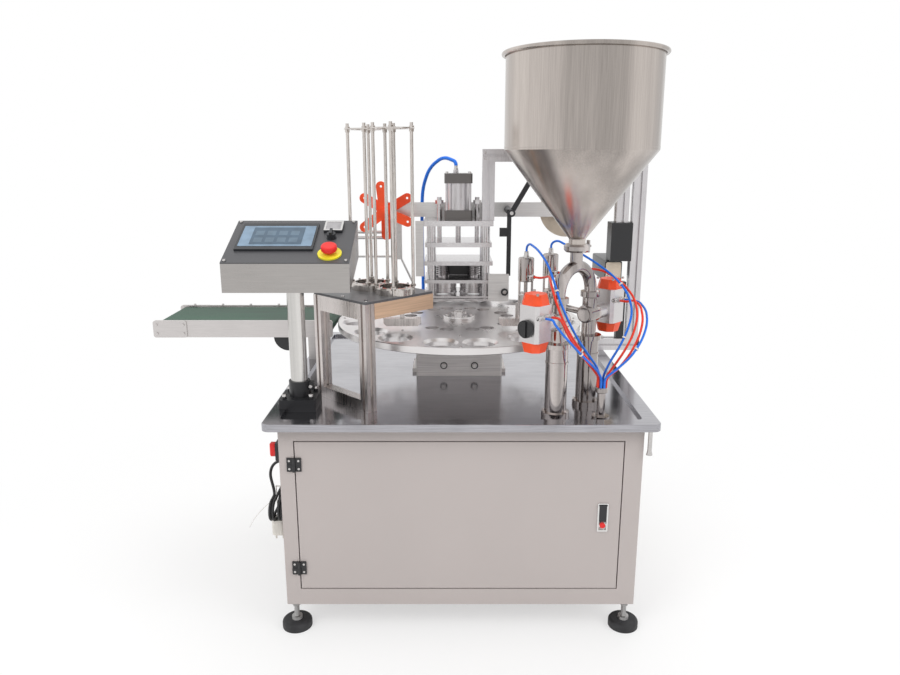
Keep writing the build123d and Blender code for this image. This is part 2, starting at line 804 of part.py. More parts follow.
def operator_stand():
    """A bolted flange with a clamping socket, and the column that stands in it."""
    x, y = column_place
    h = flange / 2
    plate = block(x - h, x + h, y - h, y + h, rim_top, rim_top + flange_t)
    plate = fillet(plate.edges().filter_by(Axis.Z), 5)
    inner = -table / 2 + rim_width
    spacer = block(inner + gap, x + h, y - h, y + h, tray_z, rim_top)
    socket = upright(x, y, rim_top + flange_t, socket_top, socket_r)
    lug = block(x + socket_r - 6, x + socket_r + 10, y - 9, y + 9, socket_top - 26, socket_top - 4)
    slot = block(x + socket_r - 10, x + socket_r + 11, y - 1, y + 1, socket_top - 27, socket_top + 1)
    bolts = [
        upright(x + i * (h - 14), y + j * (h - 14), rim_top + flange_t - 1, rim_top + flange_t + 7, 6)
        for i in (-1, 1) for j in (-1, 1)
    ]
    bore = upright(x, y, rim_top + flange_t, socket_top + 1, hmi_column_r)
    save("operator_base", cut(fused(plate, spacer, socket, lug, *bolts), bore, slot))
    column = upright(x, y, rim_top + flange_t, box_z1, hmi_column_r)
    save("operator_column", column - operator_prism(0))


def operator_prism(inset):
    """The box's side outline, drawn across its whole width, or a little smaller all round."""
    y0 = box_front
    y1 = box_front + box_depth
    outline = Polyline(
        (y0, box_z0), (y0, box_z1), (y1, box_z1 + box_rise), (y1, box_z0 + box_drop), close=True
    )
    face = make_face(outline)
    if inset:
        face = offset(face, -inset)
    wide = box_w - 2 * inset
    return Plane(origin=(box_x - wide / 2, 0, 0), x_dir=(0, 1, 0), z_dir=(1, 0, 0)) * extrude(face, wide)


def panel_plane():
    """The sloping panel's own plane: origin at its front middle, Y up the slope."""
    tilt = math.atan2(box_rise, box_depth)
    return Plane(
        origin=(box_x, box_front, box_z1), x_dir=(1, 0, 0), z_dir=(0, -math.sin(tilt), math.cos(tilt))
    )


slope_length = math.hypot(box_depth, box_rise)
knob_at = (box_w * 0.317, slope_length * 0.57)
stop_at = (box_w * 0.334, slope_length * 0.19)


def operator_box():
    """The folded box, its panel, the screen and meter, the selector and the stop button."""
    on_panel = panel_plane()

    def slab(x, y, w, h, z0, z1):
        return on_panel * block(x - w / 2, x + w / 2, y - h / 2, y + h / 2, z0, z1)

    def post(x, y, r, z0, z1):
        return on_panel * upright(x, y, z0, z1, r)

    shell = operator_prism(0) - operator_prism(box_sheet)
    save("operator_box", shell - post(*stop_at, 9, -box_sheet * 2, 1))
    plate = slab(0, slope_length / 2, box_w, slope_length, 0, panel_t)
    holes = [post(*knob_at, 5 + fit, -1, panel_t + 1), post(*stop_at, 8, -1, panel_t + 1)]
    corners = [
        post(i * (box_w / 2 - 9), slope_length / 2 + j * (slope_length / 2 - 9), 4, panel_t - 1, panel_t + 2)
        for i in (-1, 1) for j in (-1, 1)
    ]
    save("operator_panel", cut(fused(plate, *corners), *holes))
    screen = slab(-box_w * 0.118, slope_length * 0.57, screen_w, screen_h, panel_t, panel_t + 6)
    glass = slab(-box_w * 0.118, slope_length * 0.57, screen_w - 40, screen_h - 34, panel_t + 5, panel_t + 7)
    dial = slab(box_w * 0.32, slope_length * 0.8, meter, meter, panel_t, panel_t + 7)
    dial_face = slab(box_w * 0.32, slope_length * 0.8, meter - 10, meter - 14, panel_t + 6, panel_t + 8)
    bezel = post(*knob_at, 13, panel_t, panel_t + 3) - post(*knob_at, 5 + fit, panel_t - 1, panel_t + 4)
    collar = post(*stop_at, collar_r, panel_t, panel_t + 4)
    collar = collar - post(*stop_at, 8 + fit, panel_t - 1, panel_t + 5)
    save("stop_collar", collar)
    cap = post(*knob_at, 11, panel_t + 3 + gap, panel_t + 14)
    grip = slab(*knob_at, 7, 24, panel_t + 12, panel_t + 22)
    stalk = post(*knob_at, 5, 0.5, panel_t + 5)
    save("selector_knob", fused(cap, grip, stalk))
    save("operator_screen", cut(screen, glass), cut(dial, dial_face), bezel)
    high = panel_t + 4 + estop_travel + gap
    head = post(*stop_at, mushroom_r, high, high + 16)
    head = fillet(head.edges().filter_by(GeomType.CIRCLE), 5)
    stem = post(*stop_at, 8, -box_sheet, high + 1)
    save("stop_button", fused(head, stem))


# Outfeed belt

belt_roller_x = (belt_x0 + roller_inset, belt_x1 - roller_inset)
belt_axis_z = belt_top - belt_t - gap - belt_roller_r


def conveyor_frame():
    """Two side rails with end plates, cross ties and a slider bed, on two legs that stand on the rim."""
    rails = []
    extras = []
    for side in (-1, 1):
        y_out = side * belt_y
        y_in = side * (belt_y - rail_t)
        rail = block(belt_x0, belt_x1, min(y_in, y_out), max(y_in, y_out), rail_z, rail_z + rail_h)
        rail = fillet(rail.edges().filter_by(Axis.Y), 7)
        for x in belt_roller_x:
            low = min(y_in, y_out) - 1
            rail = rail - bar_along_y(x, belt_axis_z, low, max(y_in, y_out) + 1, belt_pin_r + fit)
        rails.append(rail)
        far = side * (belt_y + 3)
        plate = block(
            belt_x0, belt_x0 + end_plate, min(y_out, far), max(y_out, far), rail_z, rail_z + rail_h
        )
        plate = fillet(plate.edges().filter_by(Axis.Y), 7)
        screws = [
            bar_along_y(belt_x0 + x, rail_z + z, min(far, far + side * 3), max(far, far + side * 3), 4)
            for x in (10, end_plate - 10) for z in (12, rail_h - 12)
        ]
        extras += [plate, *screws]
        leg = block(-490, -462, min(y_in, y_out), max(y_in, y_out), rim_top, rail_z)
        extras.append(leg)
    inside = belt_y - rail_t
    bed_x0 = belt_roller_x[0] + 30
    bed_x1 = belt_roller_x[1] - 30
    bed = block(bed_x0, bed_x1, -inside, inside, belt_axis_z + 3, belt_axis_z + belt_roller_r)
    save("conveyor_frame", *rails, *extras, bed)


def conveyor_belt():
    """The endless belt round its two rollers."""
    wide = belt_y - rail_t - 10
    r_in = belt_roller_r + gap
    r_out = r_in + belt_t

    def loop(r, y):
        whole = block(belt_roller_x[0], belt_roller_x[1], -y, y, belt_axis_z - r, belt_axis_z + r)
        return fused(whole, *[bar_along_y(x, belt_axis_z, -y, y, r) for x in belt_roller_x])

    save("conveyor_belt", loop(r_out, wide) - loop(r_in, wide + 1))
    for node, x in zip(("outer_belt_roller", "inner_belt_roller"), belt_roller_x):
        drum = bar_along_y(x, belt_axis_z, -wide, wide, belt_roller_r)
        axle = bar_along_y(x, belt_axis_z, -belt_y, belt_y, belt_pin_r)
        save(node, fused(drum, axle))


def conveyor_motor():
    """The belt's gear motor, hung under the rails behind a rounded guard."""
    z1 = rail_z
    near = belt_y - rail_t - gap
    guard = bar_along_y(-505, z1, -near, -near + 50, 42)
    motor = bar_along_y(-505, z1 - 24, -near + 50, near - 30, 24)
    lid = block(-560, -440, -belt_y - 1, belt_y + 1, z1, z1 + 60)
    save("conveyor_motor", fused(guard, motor) - lid)


# Cup dispenser


def on_stand(*pieces):
    """Pieces drawn from the stand's front corner, moved to their place on the table."""
    return [turned(stand, stand_turn, piece) for piece in pieces]


def dispenser_frame():
    """Two slotted posts on a base bar, and the brushed side panels under the dispenser's plate."""
    low = stand_top - stand_plate
    mid = stand_post / 2
    posts = []
    for b in (mid, stand_b - mid):
        section = Rectangle(stand_post, stand_post)
        for turn in range(4):
            section = section - Rot(0, 0, 90 * turn) * Pos(mid - 3, 0) * Rectangle(6, 8)
        posts.append(Pos(mid, b, tray_z) * extrude(section, low - tray_z))
    base = block(0, stand_post, stand_post, stand_b - stand_post, tray_z, tray_z + stand_post)
    z0 = low - side_panel_h
    panels = [
        block(stand_post, stand_a, 0, 4, z0, low),
        block(stand_post, stand_a, stand_b - 4, stand_b, z0, low),
        block(0, 4, stand_post, stand_b - stand_post, z0, low),
    ]
    save("dispenser_frame", *on_stand(*posts, base, *panels))


def dispenser_plate():
    """The dispenser's dark top plate, bored under both magazines."""
    plate = block(0, stand_a, 0, stand_b, stand_top - stand_plate, stand_top)
    plate = fillet(plate.edges().filter_by(Axis.Z), 4)
    for b in magazine_b:
        plate = plate - upright(magazine_a, b, stand_top - stand_plate - 1, stand_top + 1, magazine_bore)
    screws = [upright(x, y, stand_top - 1, stand_top + 4, 5) for x, y in ((15, 15), (15, stand_b - 15))]
    save("dispenser_plate", *on_stand(fused(plate, *screws)))


def magazine_places():
    """Both magazine axes on the table."""
    return [Pos(stand[0], stand[1], 0) * Rot(0, 0, stand_turn) * Pos(magazine_a, b, 0) for b in magazine_b]


def cup_magazines():
    """Two cup magazines: a guide ring and four threaded rods each, tied by one plate near the top."""
    ring_top = stand_top + ring_h
    pieces = []
    openings = []
    tie = None
    for place in magazine_places():
        x = place.position.X
        y = place.position.Y
        rods = []
        holes = []
        for turn in range(4):
            a = math.radians(90 * turn)
            rx = x + magazine_rod_pitch * math.cos(a)
            ry = y + magazine_rod_pitch * math.sin(a)
            rods.append(upright(rx, ry, stand_top, magazine_top, magazine_rod_r))
            holes.append(upright(rx, ry, stand_top - 1, magazine_top + 1, magazine_rod_r))
        ring = upright(x, y, stand_top, ring_top, ring_r)
        ring = chamfer(ring.edges().sort_by(Axis.Z)[-1], 4)
        ring = cut(ring, upright(x, y, stand_top - 1, ring_top + 1, magazine_bore), *holes)
        pieces += [ring, *rods]
        z1 = magazine_plate_z + magazine_plate
        disc = upright(x, y, magazine_plate_z, z1, magazine_rod_pitch + magazine_rod_r + 4)
        tie = disc if tie is None else tie + disc
        openings += [*holes, upright(x, y, stand_top, magazine_top, magazine_bore)]
    save("cup_magazines", *pieces, cut(tie, *openings))


def guide_bar(x, carrier):
    """A chamfered bar just over the turntable that keeps the cups in their holes."""
    bar = block(x - 53, x + 53, guide_y - 11, guide_y + 11, disc_top + 12, disc_top + 34)
    bar = chamfer(bar.edges().filter_by(Axis.Y).group_by(Axis.Z)[0], 8)
    return fused(bar, carrier)


def cup_guides():
    """One guide bar hung from the dispenser's plate and one from a bracket on the nozzles."""
    left_post = block(-171, -159, guide_y - 6, guide_y + 6, disc_top + 30, stand_top - stand_plate)
    bracket_z = guide_bracket_z
    bracket_top = bracket_z + 6
    span = block(nozzle_x[0], nozzle_x[1], nozzle_y + 8, nozzle_y + 14, bracket_z, bracket_z + 12)
    reach = block(48, 57, nozzle_y + 8, nozzle_y + 84, bracket_z, bracket_top)
    drop = block(48, 57, nozzle_y + 76, nozzle_y + 84, disc_top + 30, bracket_top)
    bracket = on_filler(fused(span, reach, drop))[0]
    for x in nozzle_x:
        bracket = bracket - on_filler(upright(x, nozzle_y, 820, 860, nozzle_body_r))[0]
    save("cup_guides", guide_bar(-165, left_post), guide_bar(165, bracket))


# Filler


def on_filler(*pieces):
    """Pieces drawn about the hopper's axis, with X along the filler and Y in towards the turntable."""
    return [turned(fill_centre, fill_turn, piece) for piece in pieces]


def tank_places():
    """The two metering cylinders' axes on the table."""
    half_pitch = fill_pitch / 2
    return [
        (fill_centre[0] + x * slant, fill_centre[1] + x * slant) for x in (-half_pitch, half_pitch)
    ]


tank_x = (-fill_pitch / 2, fill_pitch / 2)
nozzle_x = (-fill_along - cup_pitch, -fill_along + cup_pitch)
nozzle_y = fill_out - head_y


def metering_cylinders():
    """Two polished metering cylinders with end flanges, bored for their pistons."""
    tanks = []
    for x in tank_x:
        tube = upright(x, 0, tray_z, tank_top, tank_r)
        foot = upright(x, 0, tray_z, tray_z + 12, tank_r + 8)
        head = upright(x, 0, tank_top - 12, tank_top, tank_r + 6)
        bore = upright(x, 0, tray_z + 12, tank_top - 8, tank_bore)
        rod_hole = upright(x, 0, tray_z - 1, tray_z + 13, needle_r + fit)
        tanks.append(cut(fused(tube, foot, head), bore, rod_hole))
    save("metering_cylinders", *on_filler(*tanks))
    yoke_z = tray_z - dosing_travel - 30
    yoke = block(tank_x[0] - 12, tank_x[1] + 12, -10, 10, yoke_z, yoke_z + 12)
    moving = [yoke]
    for x in tank_x:
        moving.append(upright(x, 0, yoke_z + 6, piston_z + 5, needle_r))
        moving.append(upright(x, 0, piston_z, piston_z + 20, tank_bore - fit))
    save("dosing_pistons", *on_filler(fused(*moving)))


def valves():
    """Two cast valve bodies over the metering cylinders, with pipes to the nozzles."""
    bodies = []
    for side, x, nx in ((-1, tank_x[0], nozzle_x[0]), (1, tank_x[1], nozzle_x[1])):
        barrel = upright(x, 0, tank_top, valve_top, 19)
        barrel = fillet(barrel.edges().sort_by(Axis.Z)[-1], 4)
        boss = bar_along_x(0, valve_z, x - 26, x + 26, 24)
        boss = fillet(boss.edges().filter_by(GeomType.CIRCLE), 6)
        far = x + side * 26
        near = x - side * 18
        plug_bore = bar_along_x(0, valve_z, min(near, far + side), max(near, far + side), plug_r + fit)
        outlet = between((x, 15, valve_z), (nx, nozzle_y - 12, valve_z), 9)
        bodies.append(cut(fused(barrel, boss, outlet), plug_bore))
    save("valve_bodies", *on_filler(*bodies))


def valve_stems():
    """Each valve's plug, stem and domed position indicator, turned by its actuator."""
    for node, side in (("left_valve_stem", -1), ("right_valve_stem", 1)):
        x = side * fill_pitch / 2
        out = side * (actuator_at + actuator_w / 2)
        plug = bar_along_x(0, valve_z, *sorted((x - side * 17, x + side * 25)), plug_r)
        plug = plug - upright(x, 0, valve_z - plug_r - 1, valve_z + plug_r + 1, 8)
        stem = bar_along_x(0, valve_z, *sorted((x + side * 24, out + side * 2)), stem_r)
        face = out + side * gap
        dome = bar_along_x(0, valve_z, *sorted((face, face + side * 9)), dome_r)
        rib = block(*sorted((face, face + side * 13)), -5, 5, valve_z - dome_r + 3, valve_z + dome_r - 3)
        save(node, *on_filler(fused(plug, stem, dome, rib)))


def actuators():
    """Two rotary actuators: aluminium bodies, tapered end caps and the collars that join the valves."""
    bodies = []
    caps = []
    h = actuator_w / 2
    cap_h = 26.0
    for side in (-1, 1):
        x = side * actuator_at
        body = block(x - h, x + h, -h, h, actuator_z0 + cap_h, actuator_z1 - cap_h)
        body = chamfer(body.edges().filter_by(Axis.Z), 8)
        body = body - bar_along_x(0, valve_z, x - h - 1, x + h + 1, stem_r + fit)
        ports = [bar_along_y(x + d, 870, -h - 12, -h, 6) for d in (-12, 12)]
        near = side * (fill_pitch / 2 + 26)
        collar = bar_along_x(0, valve_z, *sorted((near, x - side * h)), 20)
        collar = collar - bar_along_x(0, valve_z, *sorted((near - side, x)), stem_r + 3)
        bodies += [fused(body, *ports), collar]
        for z, grow in ((actuator_z0, -1), (actuator_z1, 1)):
            wide = Rectangle(actuator_w, actuator_w)
            wide = chamfer(wide.vertices(), 16)
            narrow = scale(wide, by=0.8)
            base_z = z - grow * cap_h
            cap = loft([Pos(x, 0, base_z) * wide, Pos(x, 0, z) * narrow])
            caps.append(cap)
    save("actuator_bodies", *on_filler(*bodies))
    save("actuator_caps", *on_filler(*caps))


def nozzles():
    """Two filling nozzles, each with an air cylinder on four posts above it and a shut-off needle."""
    still = []
    needles = []
    for x in nozzle_x:
        y = nozzle_y
        lower = upright(x, y, nozzle_body_z, 830, 14)
        upper = upright(x, y, 826, nozzle_body_top, nozzle_body_r)
        upper = chamfer(upper.edges(), 2)
        bore = upright(x, y, nozzle_body_z - 1, nozzle_body_top + 1, needle_r + fit)
        still.append(cut(fused(lower, upper), bore))
        cylinder = upright(x, y, nozzle_z, nozzle_top, nozzle_r)
        cylinder = chamfer(cylinder.edges(), 2)
        port = bar_along_y(x, nozzle_z + 14, y - nozzle_r - 8, y - nozzle_r + 2, 5)
        blind = upright(x, y, nozzle_z - 1, nozzle_z + 30 + needle_travel, needle_r + fit)
        still.append(cut(fused(cylinder, port), blind))
        for dx in (-12, 12):
            for dy in (-12, 12):
                still.append(upright(x + dx, y + dy, nozzle_body_top, nozzle_z, 3))
        needles.append(upright(x, y, nozzle_body_z + 2, nozzle_z + 30, needle_r))
    outlets = [
        between((x, 15, valve_z), (nx, nozzle_y - 12, valve_z), 9) for x, nx in zip(tank_x, nozzle_x)
    ]
    save("filling_nozzles", *on_filler(*[cut(piece, *outlets) for piece in still]))
    save("nozzle_needles", *on_filler(*needles))


def manifold():
    """The arched pipe that splits the hopper's outlet between both valves, and its clamps."""
    r = fill_pitch / 2
    low = arch_z - r

    def path_tube(radius):
        ends = [upright(x, 0, valve_top, low, radius) for x in tank_x]
        section = Plane(origin=(tank_x[0], 0, low)) * Circle(radius)
        arch = revolve(section, axis=Axis((0, 0, low), (0, 1, 0)), revolution_arc=180)
        riser = upright(0, 0, arch_z, clamp_z + clamp_h / 2, radius)
        return fused(arch, *ends, riser)

    pipe = path_tube(pipe_r) - path_tube(pipe_bore)
    rings = []
    for x in tank_x:
        ring = upright(x, 0, valve_top, valve_top + 14, pipe_r + 9)
        rings.append(ring - upright(x, 0, valve_top - 1, valve_top + 15, pipe_r))
    clamp = upright(0, 0, clamp_z, clamp_z + clamp_h, clamp_r)
    clamp = chamfer(clamp.edges(), 5)
    clamp = clamp - upright(0, 0, clamp_z - 1, clamp_z + clamp_h / 2, pipe_r)
    clamp = clamp - upright(0, 0, clamp_z + clamp_h / 2, clamp_z + clamp_h + 1, outlet_r)
    screw = bar_along_x(0, clamp_z + clamp_h / 2, clamp_r - 2, clamp_r + 26, 3.5)
    wing = block(clamp_r + 14, clamp_r + 19, -4, 4, clamp_z - 6, clamp_z + clamp_h + 6)
    save("manifold_pipe", *on_filler(pipe, *rings, fused(clamp, screw, wing)))


def hopper():
    """The product hopper in thin sheet: a cone with its outlet tube and a lip, and a rimmed cylinder on it."""
    t = hopper_sheet
    start = clamp_z + clamp_h / 2
    rim_z = hopper_top - rim_roll
    seam = cone_top + cone_lip
    outline = Polyline(
        (outlet_r, start), (outlet_r, cone_z), (hopper_r, cone_top), (hopper_r, seam), (hopper_r - t, seam),
        (hopper_r - t, cone_top), (outlet_r - t, cone_z + t / 2), (outlet_r - t, start), close=True,
    )
    cone = revolve(Plane.XZ * make_face(outline), Axis.Z)
    turned_out = upright(0, 0, rim_z - t, rim_z, hopper_r + rim_roll)
    wall = fused(upright(0, 0, seam, rim_z, hopper_r), turned_out)
    wall = wall - upright(0, 0, seam - 1, rim_z + 1, hopper_r - t)
    rim = Pos(0, 0, rim_z) * Torus(hopper_r + rim_roll, rim_roll)
    save("hopper", *on_filler(cone, fused(wall, rim)))


# Hoses and power cord


def bend_radii(points):
    """For each corner of a route, the largest arc that its two runs allow."""
    radii = []
    for before, here, after in zip(points, points[1:], points[2:]):
        first = Vector(*here) - Vector(*before)
        second = Vector(*after) - Vector(*here)
        half_turn = math.radians(first.get_angle(second)) / 2
        radii.append(0.45 * min(first.length, second.length) / math.tan(half_turn))
    return radii


def tube(points, r):
    """A round tube of straight runs joined by tangent arcs."""
    path = FilletPolyline(*points, radius=bend_radii(points))
    start = Vector(*points[0])
    heading = Vector(*points[1]) - start
    return sweep(Plane(origin=start, z_dir=heading) * Circle(r), path=path)


def hose_start(angle):
    """A hose's place on the conduit's cap, by its angle round it, and a point straight above it."""
    a = math.radians(angle)
    x = conduit[0] + 11 * math.cos(a)
    y = conduit[1] + 11 * math.sin(a)
    return [(x, y, conduit_top), (x, y, conduit_top + 26)]


def filler_point(x, y, z):
    """A point given along and across the filler, as a point over the table."""
    return (fill_centre[0] + (x - y) * slant, fill_centre[1] + (x + y) * slant, z)


def side_port(x, y, z):
    """The way into a port on an outer face: a point straight in front of it, and the port."""
    return [filler_point(x, y - 20, z), filler_point(x, y, z)]


def top_port(x, y, z):
    """The way into a port on a cylinder's top: a point straight above it, and the port."""
    return [filler_point(x, y, z + 30), filler_point(x, y, z)]


def air_hoses():
    """The filler's air hoses, from the conduit to the actuators and the nozzle cylinders, and the press's."""
    port_y = -actuator_w / 2 - 12
    side_port_y = nozzle_y - nozzle_r - 8
    side_port_z = nozzle_z + 14
    near_x = actuator_at - 12
    far_x = actuator_at + 12
    left_top = [
        *hose_start(112.5), (340, -440, 735), (312, -458, 772), (284, -468, 812), (260, -470, 856),
        (240, -456, 902), (228, -422, 948), (217, -372, 986), (199, -312, 1012), (183, -270, 1022),
        *top_port(nozzle_x[0], nozzle_y, nozzle_top),
    ]
    right_top = [
        *hose_start(67.5), (380, -410, 738), (406, -402, 778), (426, -390, 818), (440, -370, 860),
        (434, -334, 902), (404, -296, 940), (356, -256, 974), (306, -214, 1002), (268, -188, 1022),
        *top_port(nozzle_x[1], nozzle_y, nozzle_top),
    ]
    left_far = [
        *hose_start(247.5), (338, -462, 730), (306, -484, 762), (274, -500, 796), (244, -514, 830),
        (220, -524, 860), *side_port(-far_x, port_y, 870),
    ]
    right_far = [
        *hose_start(-67.5), (388, -448, 727), (424, -442, 758), (454, -424, 796), (474, -392, 832),
        (482, -344, 858), (474, -300, 872), *side_port(far_x, port_y, 870),
    ]
    left_side = [
        *hose_start(157.5), (336, -447, 728), (308, -466, 764), (279, -478, 802), (252, -480, 846),
        (232, -466, 894), (221, -430, 938), (224, -372, 952), (220, -318, 940),
        *side_port(nozzle_x[0], side_port_y, side_port_z),
    ]
    right_side = [
        *hose_start(22.5), (390, -418, 730), (416, -412, 768), (438, -400, 808), (452, -380, 850),
        (450, -344, 890), (424, -302, 926), (380, -266, 952), (330, -238, 952),
        *side_port(nozzle_x[1], side_port_y, side_port_z),
    ]
    left_near = [
        *hose_start(202.5), (334, -454, 724), (306, -475, 758), (277, -489, 796), (253, -500, 832),
        (239, -512, 862), *side_port(-near_x, port_y, 870),
    ]
    right_near = [
        *hose_start(-22.5), (396, -432, 724), (426, -427, 762), (450, -412, 804), (464, -388, 842),
        (466, -344, 872), (454, -310, 878), *side_port(near_x, port_y, 870),
    ]
    press_top = bar_z + cylinder_h + port_h
    press_hose = [
        (port_x, press_mid, press_top), (port_x, press_mid, press_top + 26), (-50, 345, 1246),
        (-98, 384, 1210), (-124, 415, 1140), (-128, 430, 1050), (-127, 433, 930),
        (-125, 431, 800), (-127, 430, 690), (-127, 430, tray_z),
    ]
    save(
        "blue_air_hoses", *[tube(route, hose_r) for route in (left_top, right_top, left_far, right_far)],
        tube(press_hose, seal_hose_r),
    )
    save("red_air_hoses", *[tube(route, hose_r) for route in (left_side, right_side, left_near, right_near)])


def hose_conduit():
    """The bolted stand pipe that the air hoses come up through, with its cap."""
    x, y = conduit
    foot = upright(x, y, tray_z, tray_z + 8, conduit_r + 12)
    pipe = upright(x, y, tray_z, conduit_top, conduit_r)
    cap = upright(x, y, conduit_top - 14, conduit_top, conduit_cap_r)
    cap = chamfer(cap.edges(), 2)
    save("hose_conduit", fused(foot, pipe, cap))


hank_x = (-half - 50 - gap, -half - gap)
hank_y = (-420.0, -260.0)
hank_z = (285.0, 345.0)
gland_at = (-300.0, 420.0)
gland_out = 20.0
cord_route = [
    (-half - gland_out, gland_at[0], gland_at[1]), (-half - 42, gland_at[0], gland_at[1]),
    (-521, -306, 400), (-516, -316, 379), (-508, -320, hank_z[1] + 20), (-508, -320, hank_z[1]),
]


def power_cord():
    """The mains lead: the free tube, the tied hank beside the cabinet and the plug."""
    cord = tube(cord_route, cord_r)
    save("power_cord", cord)
    mid_z = (hank_z[0] + hank_z[1]) / 2
    r = (hank_z[1] - hank_z[0]) / 2
    flat = block(*hank_x, hank_y[0] + r, hank_y[1] - r, *hank_z)
    ends = [bar_along_x(y_end, mid_z, *hank_x, r) for y_end in (hank_y[0] + r, hank_y[1] - r)]
    save("cord_hank", fused(flat, *ends))
    x = -half - 32
    plug = block(x - 17, x + 17, -395, -357, hank_z[0] - 44, hank_z[0])
    plug = fillet(plug.edges().filter_by(Axis.Z), 9)
    pins = [upright(x + d, -376, hank_z[0] - 62, hank_z[0] - 43, 2.4) for d in (-9.5, 9.5)]
    save("power_plug", fused(plug, *pins))


os.makedirs("parts", exist_ok=True)
cabinet_shell()
feet()
door()
latch(hinges_and_switch_base())
main_switch()
table_tray()
drain_spout()
index_housing()
turntable()
turntable_hub()
seal_frame()
press_plates()
seal_heads()
seal_cylinder()
film_bar()
unwind_chucks()
rewind_reel()
film_frame()
film_brackets()
rewind_motor()
film_rollers()
operator_stand()
operator_box()
conveyor_frame()
conveyor_belt()
conveyor_motor()
dispenser_frame()
dispenser_plate()
cup_magazines()
cup_guides()
metering_cylinders()
valves()
valve_stems()
actuators()
nozzles()
manifold()
hopper()
hose_conduit()
air_hoses()
power_cord()
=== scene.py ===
import bpy
import bmesh
import json
import math
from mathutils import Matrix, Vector

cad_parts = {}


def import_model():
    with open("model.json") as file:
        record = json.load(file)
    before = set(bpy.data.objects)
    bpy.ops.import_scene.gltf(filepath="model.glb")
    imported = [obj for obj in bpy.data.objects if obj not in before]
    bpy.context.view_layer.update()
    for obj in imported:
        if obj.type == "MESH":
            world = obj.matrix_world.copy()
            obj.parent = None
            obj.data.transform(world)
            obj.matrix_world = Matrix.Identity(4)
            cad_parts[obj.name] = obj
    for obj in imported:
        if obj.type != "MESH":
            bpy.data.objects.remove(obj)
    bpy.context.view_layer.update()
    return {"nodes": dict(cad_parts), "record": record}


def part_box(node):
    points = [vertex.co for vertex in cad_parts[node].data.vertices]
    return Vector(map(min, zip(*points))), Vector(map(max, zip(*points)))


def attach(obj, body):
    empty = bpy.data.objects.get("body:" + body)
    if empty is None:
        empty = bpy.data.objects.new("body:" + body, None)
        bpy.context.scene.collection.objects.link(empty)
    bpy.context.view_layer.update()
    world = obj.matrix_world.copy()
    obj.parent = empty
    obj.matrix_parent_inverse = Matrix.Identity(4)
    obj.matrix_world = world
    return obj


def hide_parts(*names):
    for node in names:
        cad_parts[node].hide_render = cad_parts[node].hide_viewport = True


# The machine's looks. Places are given in millimetres over the floor, from the turntable's axis,
# as the machine's drawing has them, and moved to the frame's origin by place().

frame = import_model()
nodes = frame["nodes"]
scene = bpy.context.scene
scene.view_settings.view_transform = "Standard"

MM = 0.001
disc_low, disc_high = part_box("turntable")
axis_x = (disc_low.x + disc_high.x) / 2 / MM
axis_y = (disc_low.y + disc_high.y) / 2 / MM
SLANT = math.sqrt(0.5)

# The filler's middle and the cup dispenser's front corner, from the turntable's axis
FILL_ALONG = -42
FILL_OUT = 457
FILL = ((FILL_ALONG + FILL_OUT) * SLANT, (FILL_ALONG - FILL_OUT) * SLANT)
STAND = (-243, -389)

# The photograph's camera, solved from the table's edges: its place, its tilt in degrees and its lens
EYE = (-28, -2217, 1245)
DOWN = 13.8
LENS = 29.44

# Strength of the soft light, and how far from the middle the floor starts and ends to fade, in metres
SOFT_LIGHT = 0.62
FADE_FROM = 0.75
FADE_TO = 1.7
LAMPS = (
    ("key", (-2.2, -2.6, 3.2), (0, 0, 0.7), 2.2, 62),
    ("fill", (2.8, -1.8, 2.4), (0.1, 0, 0.8), 2.0, 34),
    ("top", (0.2, 0.3, 3.6), (0.1, 0, 0.6), 2.4, 40),
    ("back", (0.5, 3.2, 2.2), (0, 0, 0.8), 2.0, 30),
)


def place(x, y, z):
    """A point on the machine, in metres in the frame."""
    return Vector((x + axis_x, y + axis_y, z)) * MM


def on_filler(x, y, z):
    """A point along and across the filler."""
    return place(FILL[0] + (x - y) * SLANT, FILL[1] + (x + y) * SLANT, z)


def on_stand(a, b, z):
    """A point on the cup dispenser, from its front corner."""
    return place(STAND[0] + (a - b) * SLANT, STAND[1] + (a + b) * SLANT, z)


# Camera, lamps and background


def camera():
    """The photograph's view, from near the height of the hopper's seam and looking down."""
    data = bpy.data.cameras.new("camera")
    data.lens = LENS
    data.sensor_width = 36
    cam = bpy.data.objects.new("camera", data)
    cam.location = place(*EYE)
    cam.rotation_euler = (math.radians(90 - DOWN), 0, 0)
    scene.collection.objects.link(cam)
    scene.camera = cam


def lamp(name, spot, target, size, power):
    """A soft square lamp at a point of the room, facing another, and not seen in reflections."""
    data = bpy.data.lights.new(name, "AREA")
    data.size = size
    data.energy = power
    lit = bpy.data.objects.new(name, data)
    lit.location = spot
    lit.visible_glossy = False
    lit.rotation_euler = (Vector(target) - Vector(spot)).to_track_quat("-Z", "Y").to_euler()
    scene.collection.objects.link(lit)


def seeing_rays(tree):
    """One for rays that see the backdrop itself: the eye's, and those off metal and through glass."""
    rays = tree.nodes.new("ShaderNodeLightPath")
    total = rays.outputs["Is Camera Ray"]
    for kind in ("Is Glossy Ray", "Is Transmission Ray"):
        both = tree.nodes.new("ShaderNodeMath")
        both.operation = "ADD"
        both.use_clamp = True
        tree.links.new(total, both.inputs[0])
        tree.links.new(rays.outputs[kind], both.inputs[1])
        total = both.outputs[0]
    return total


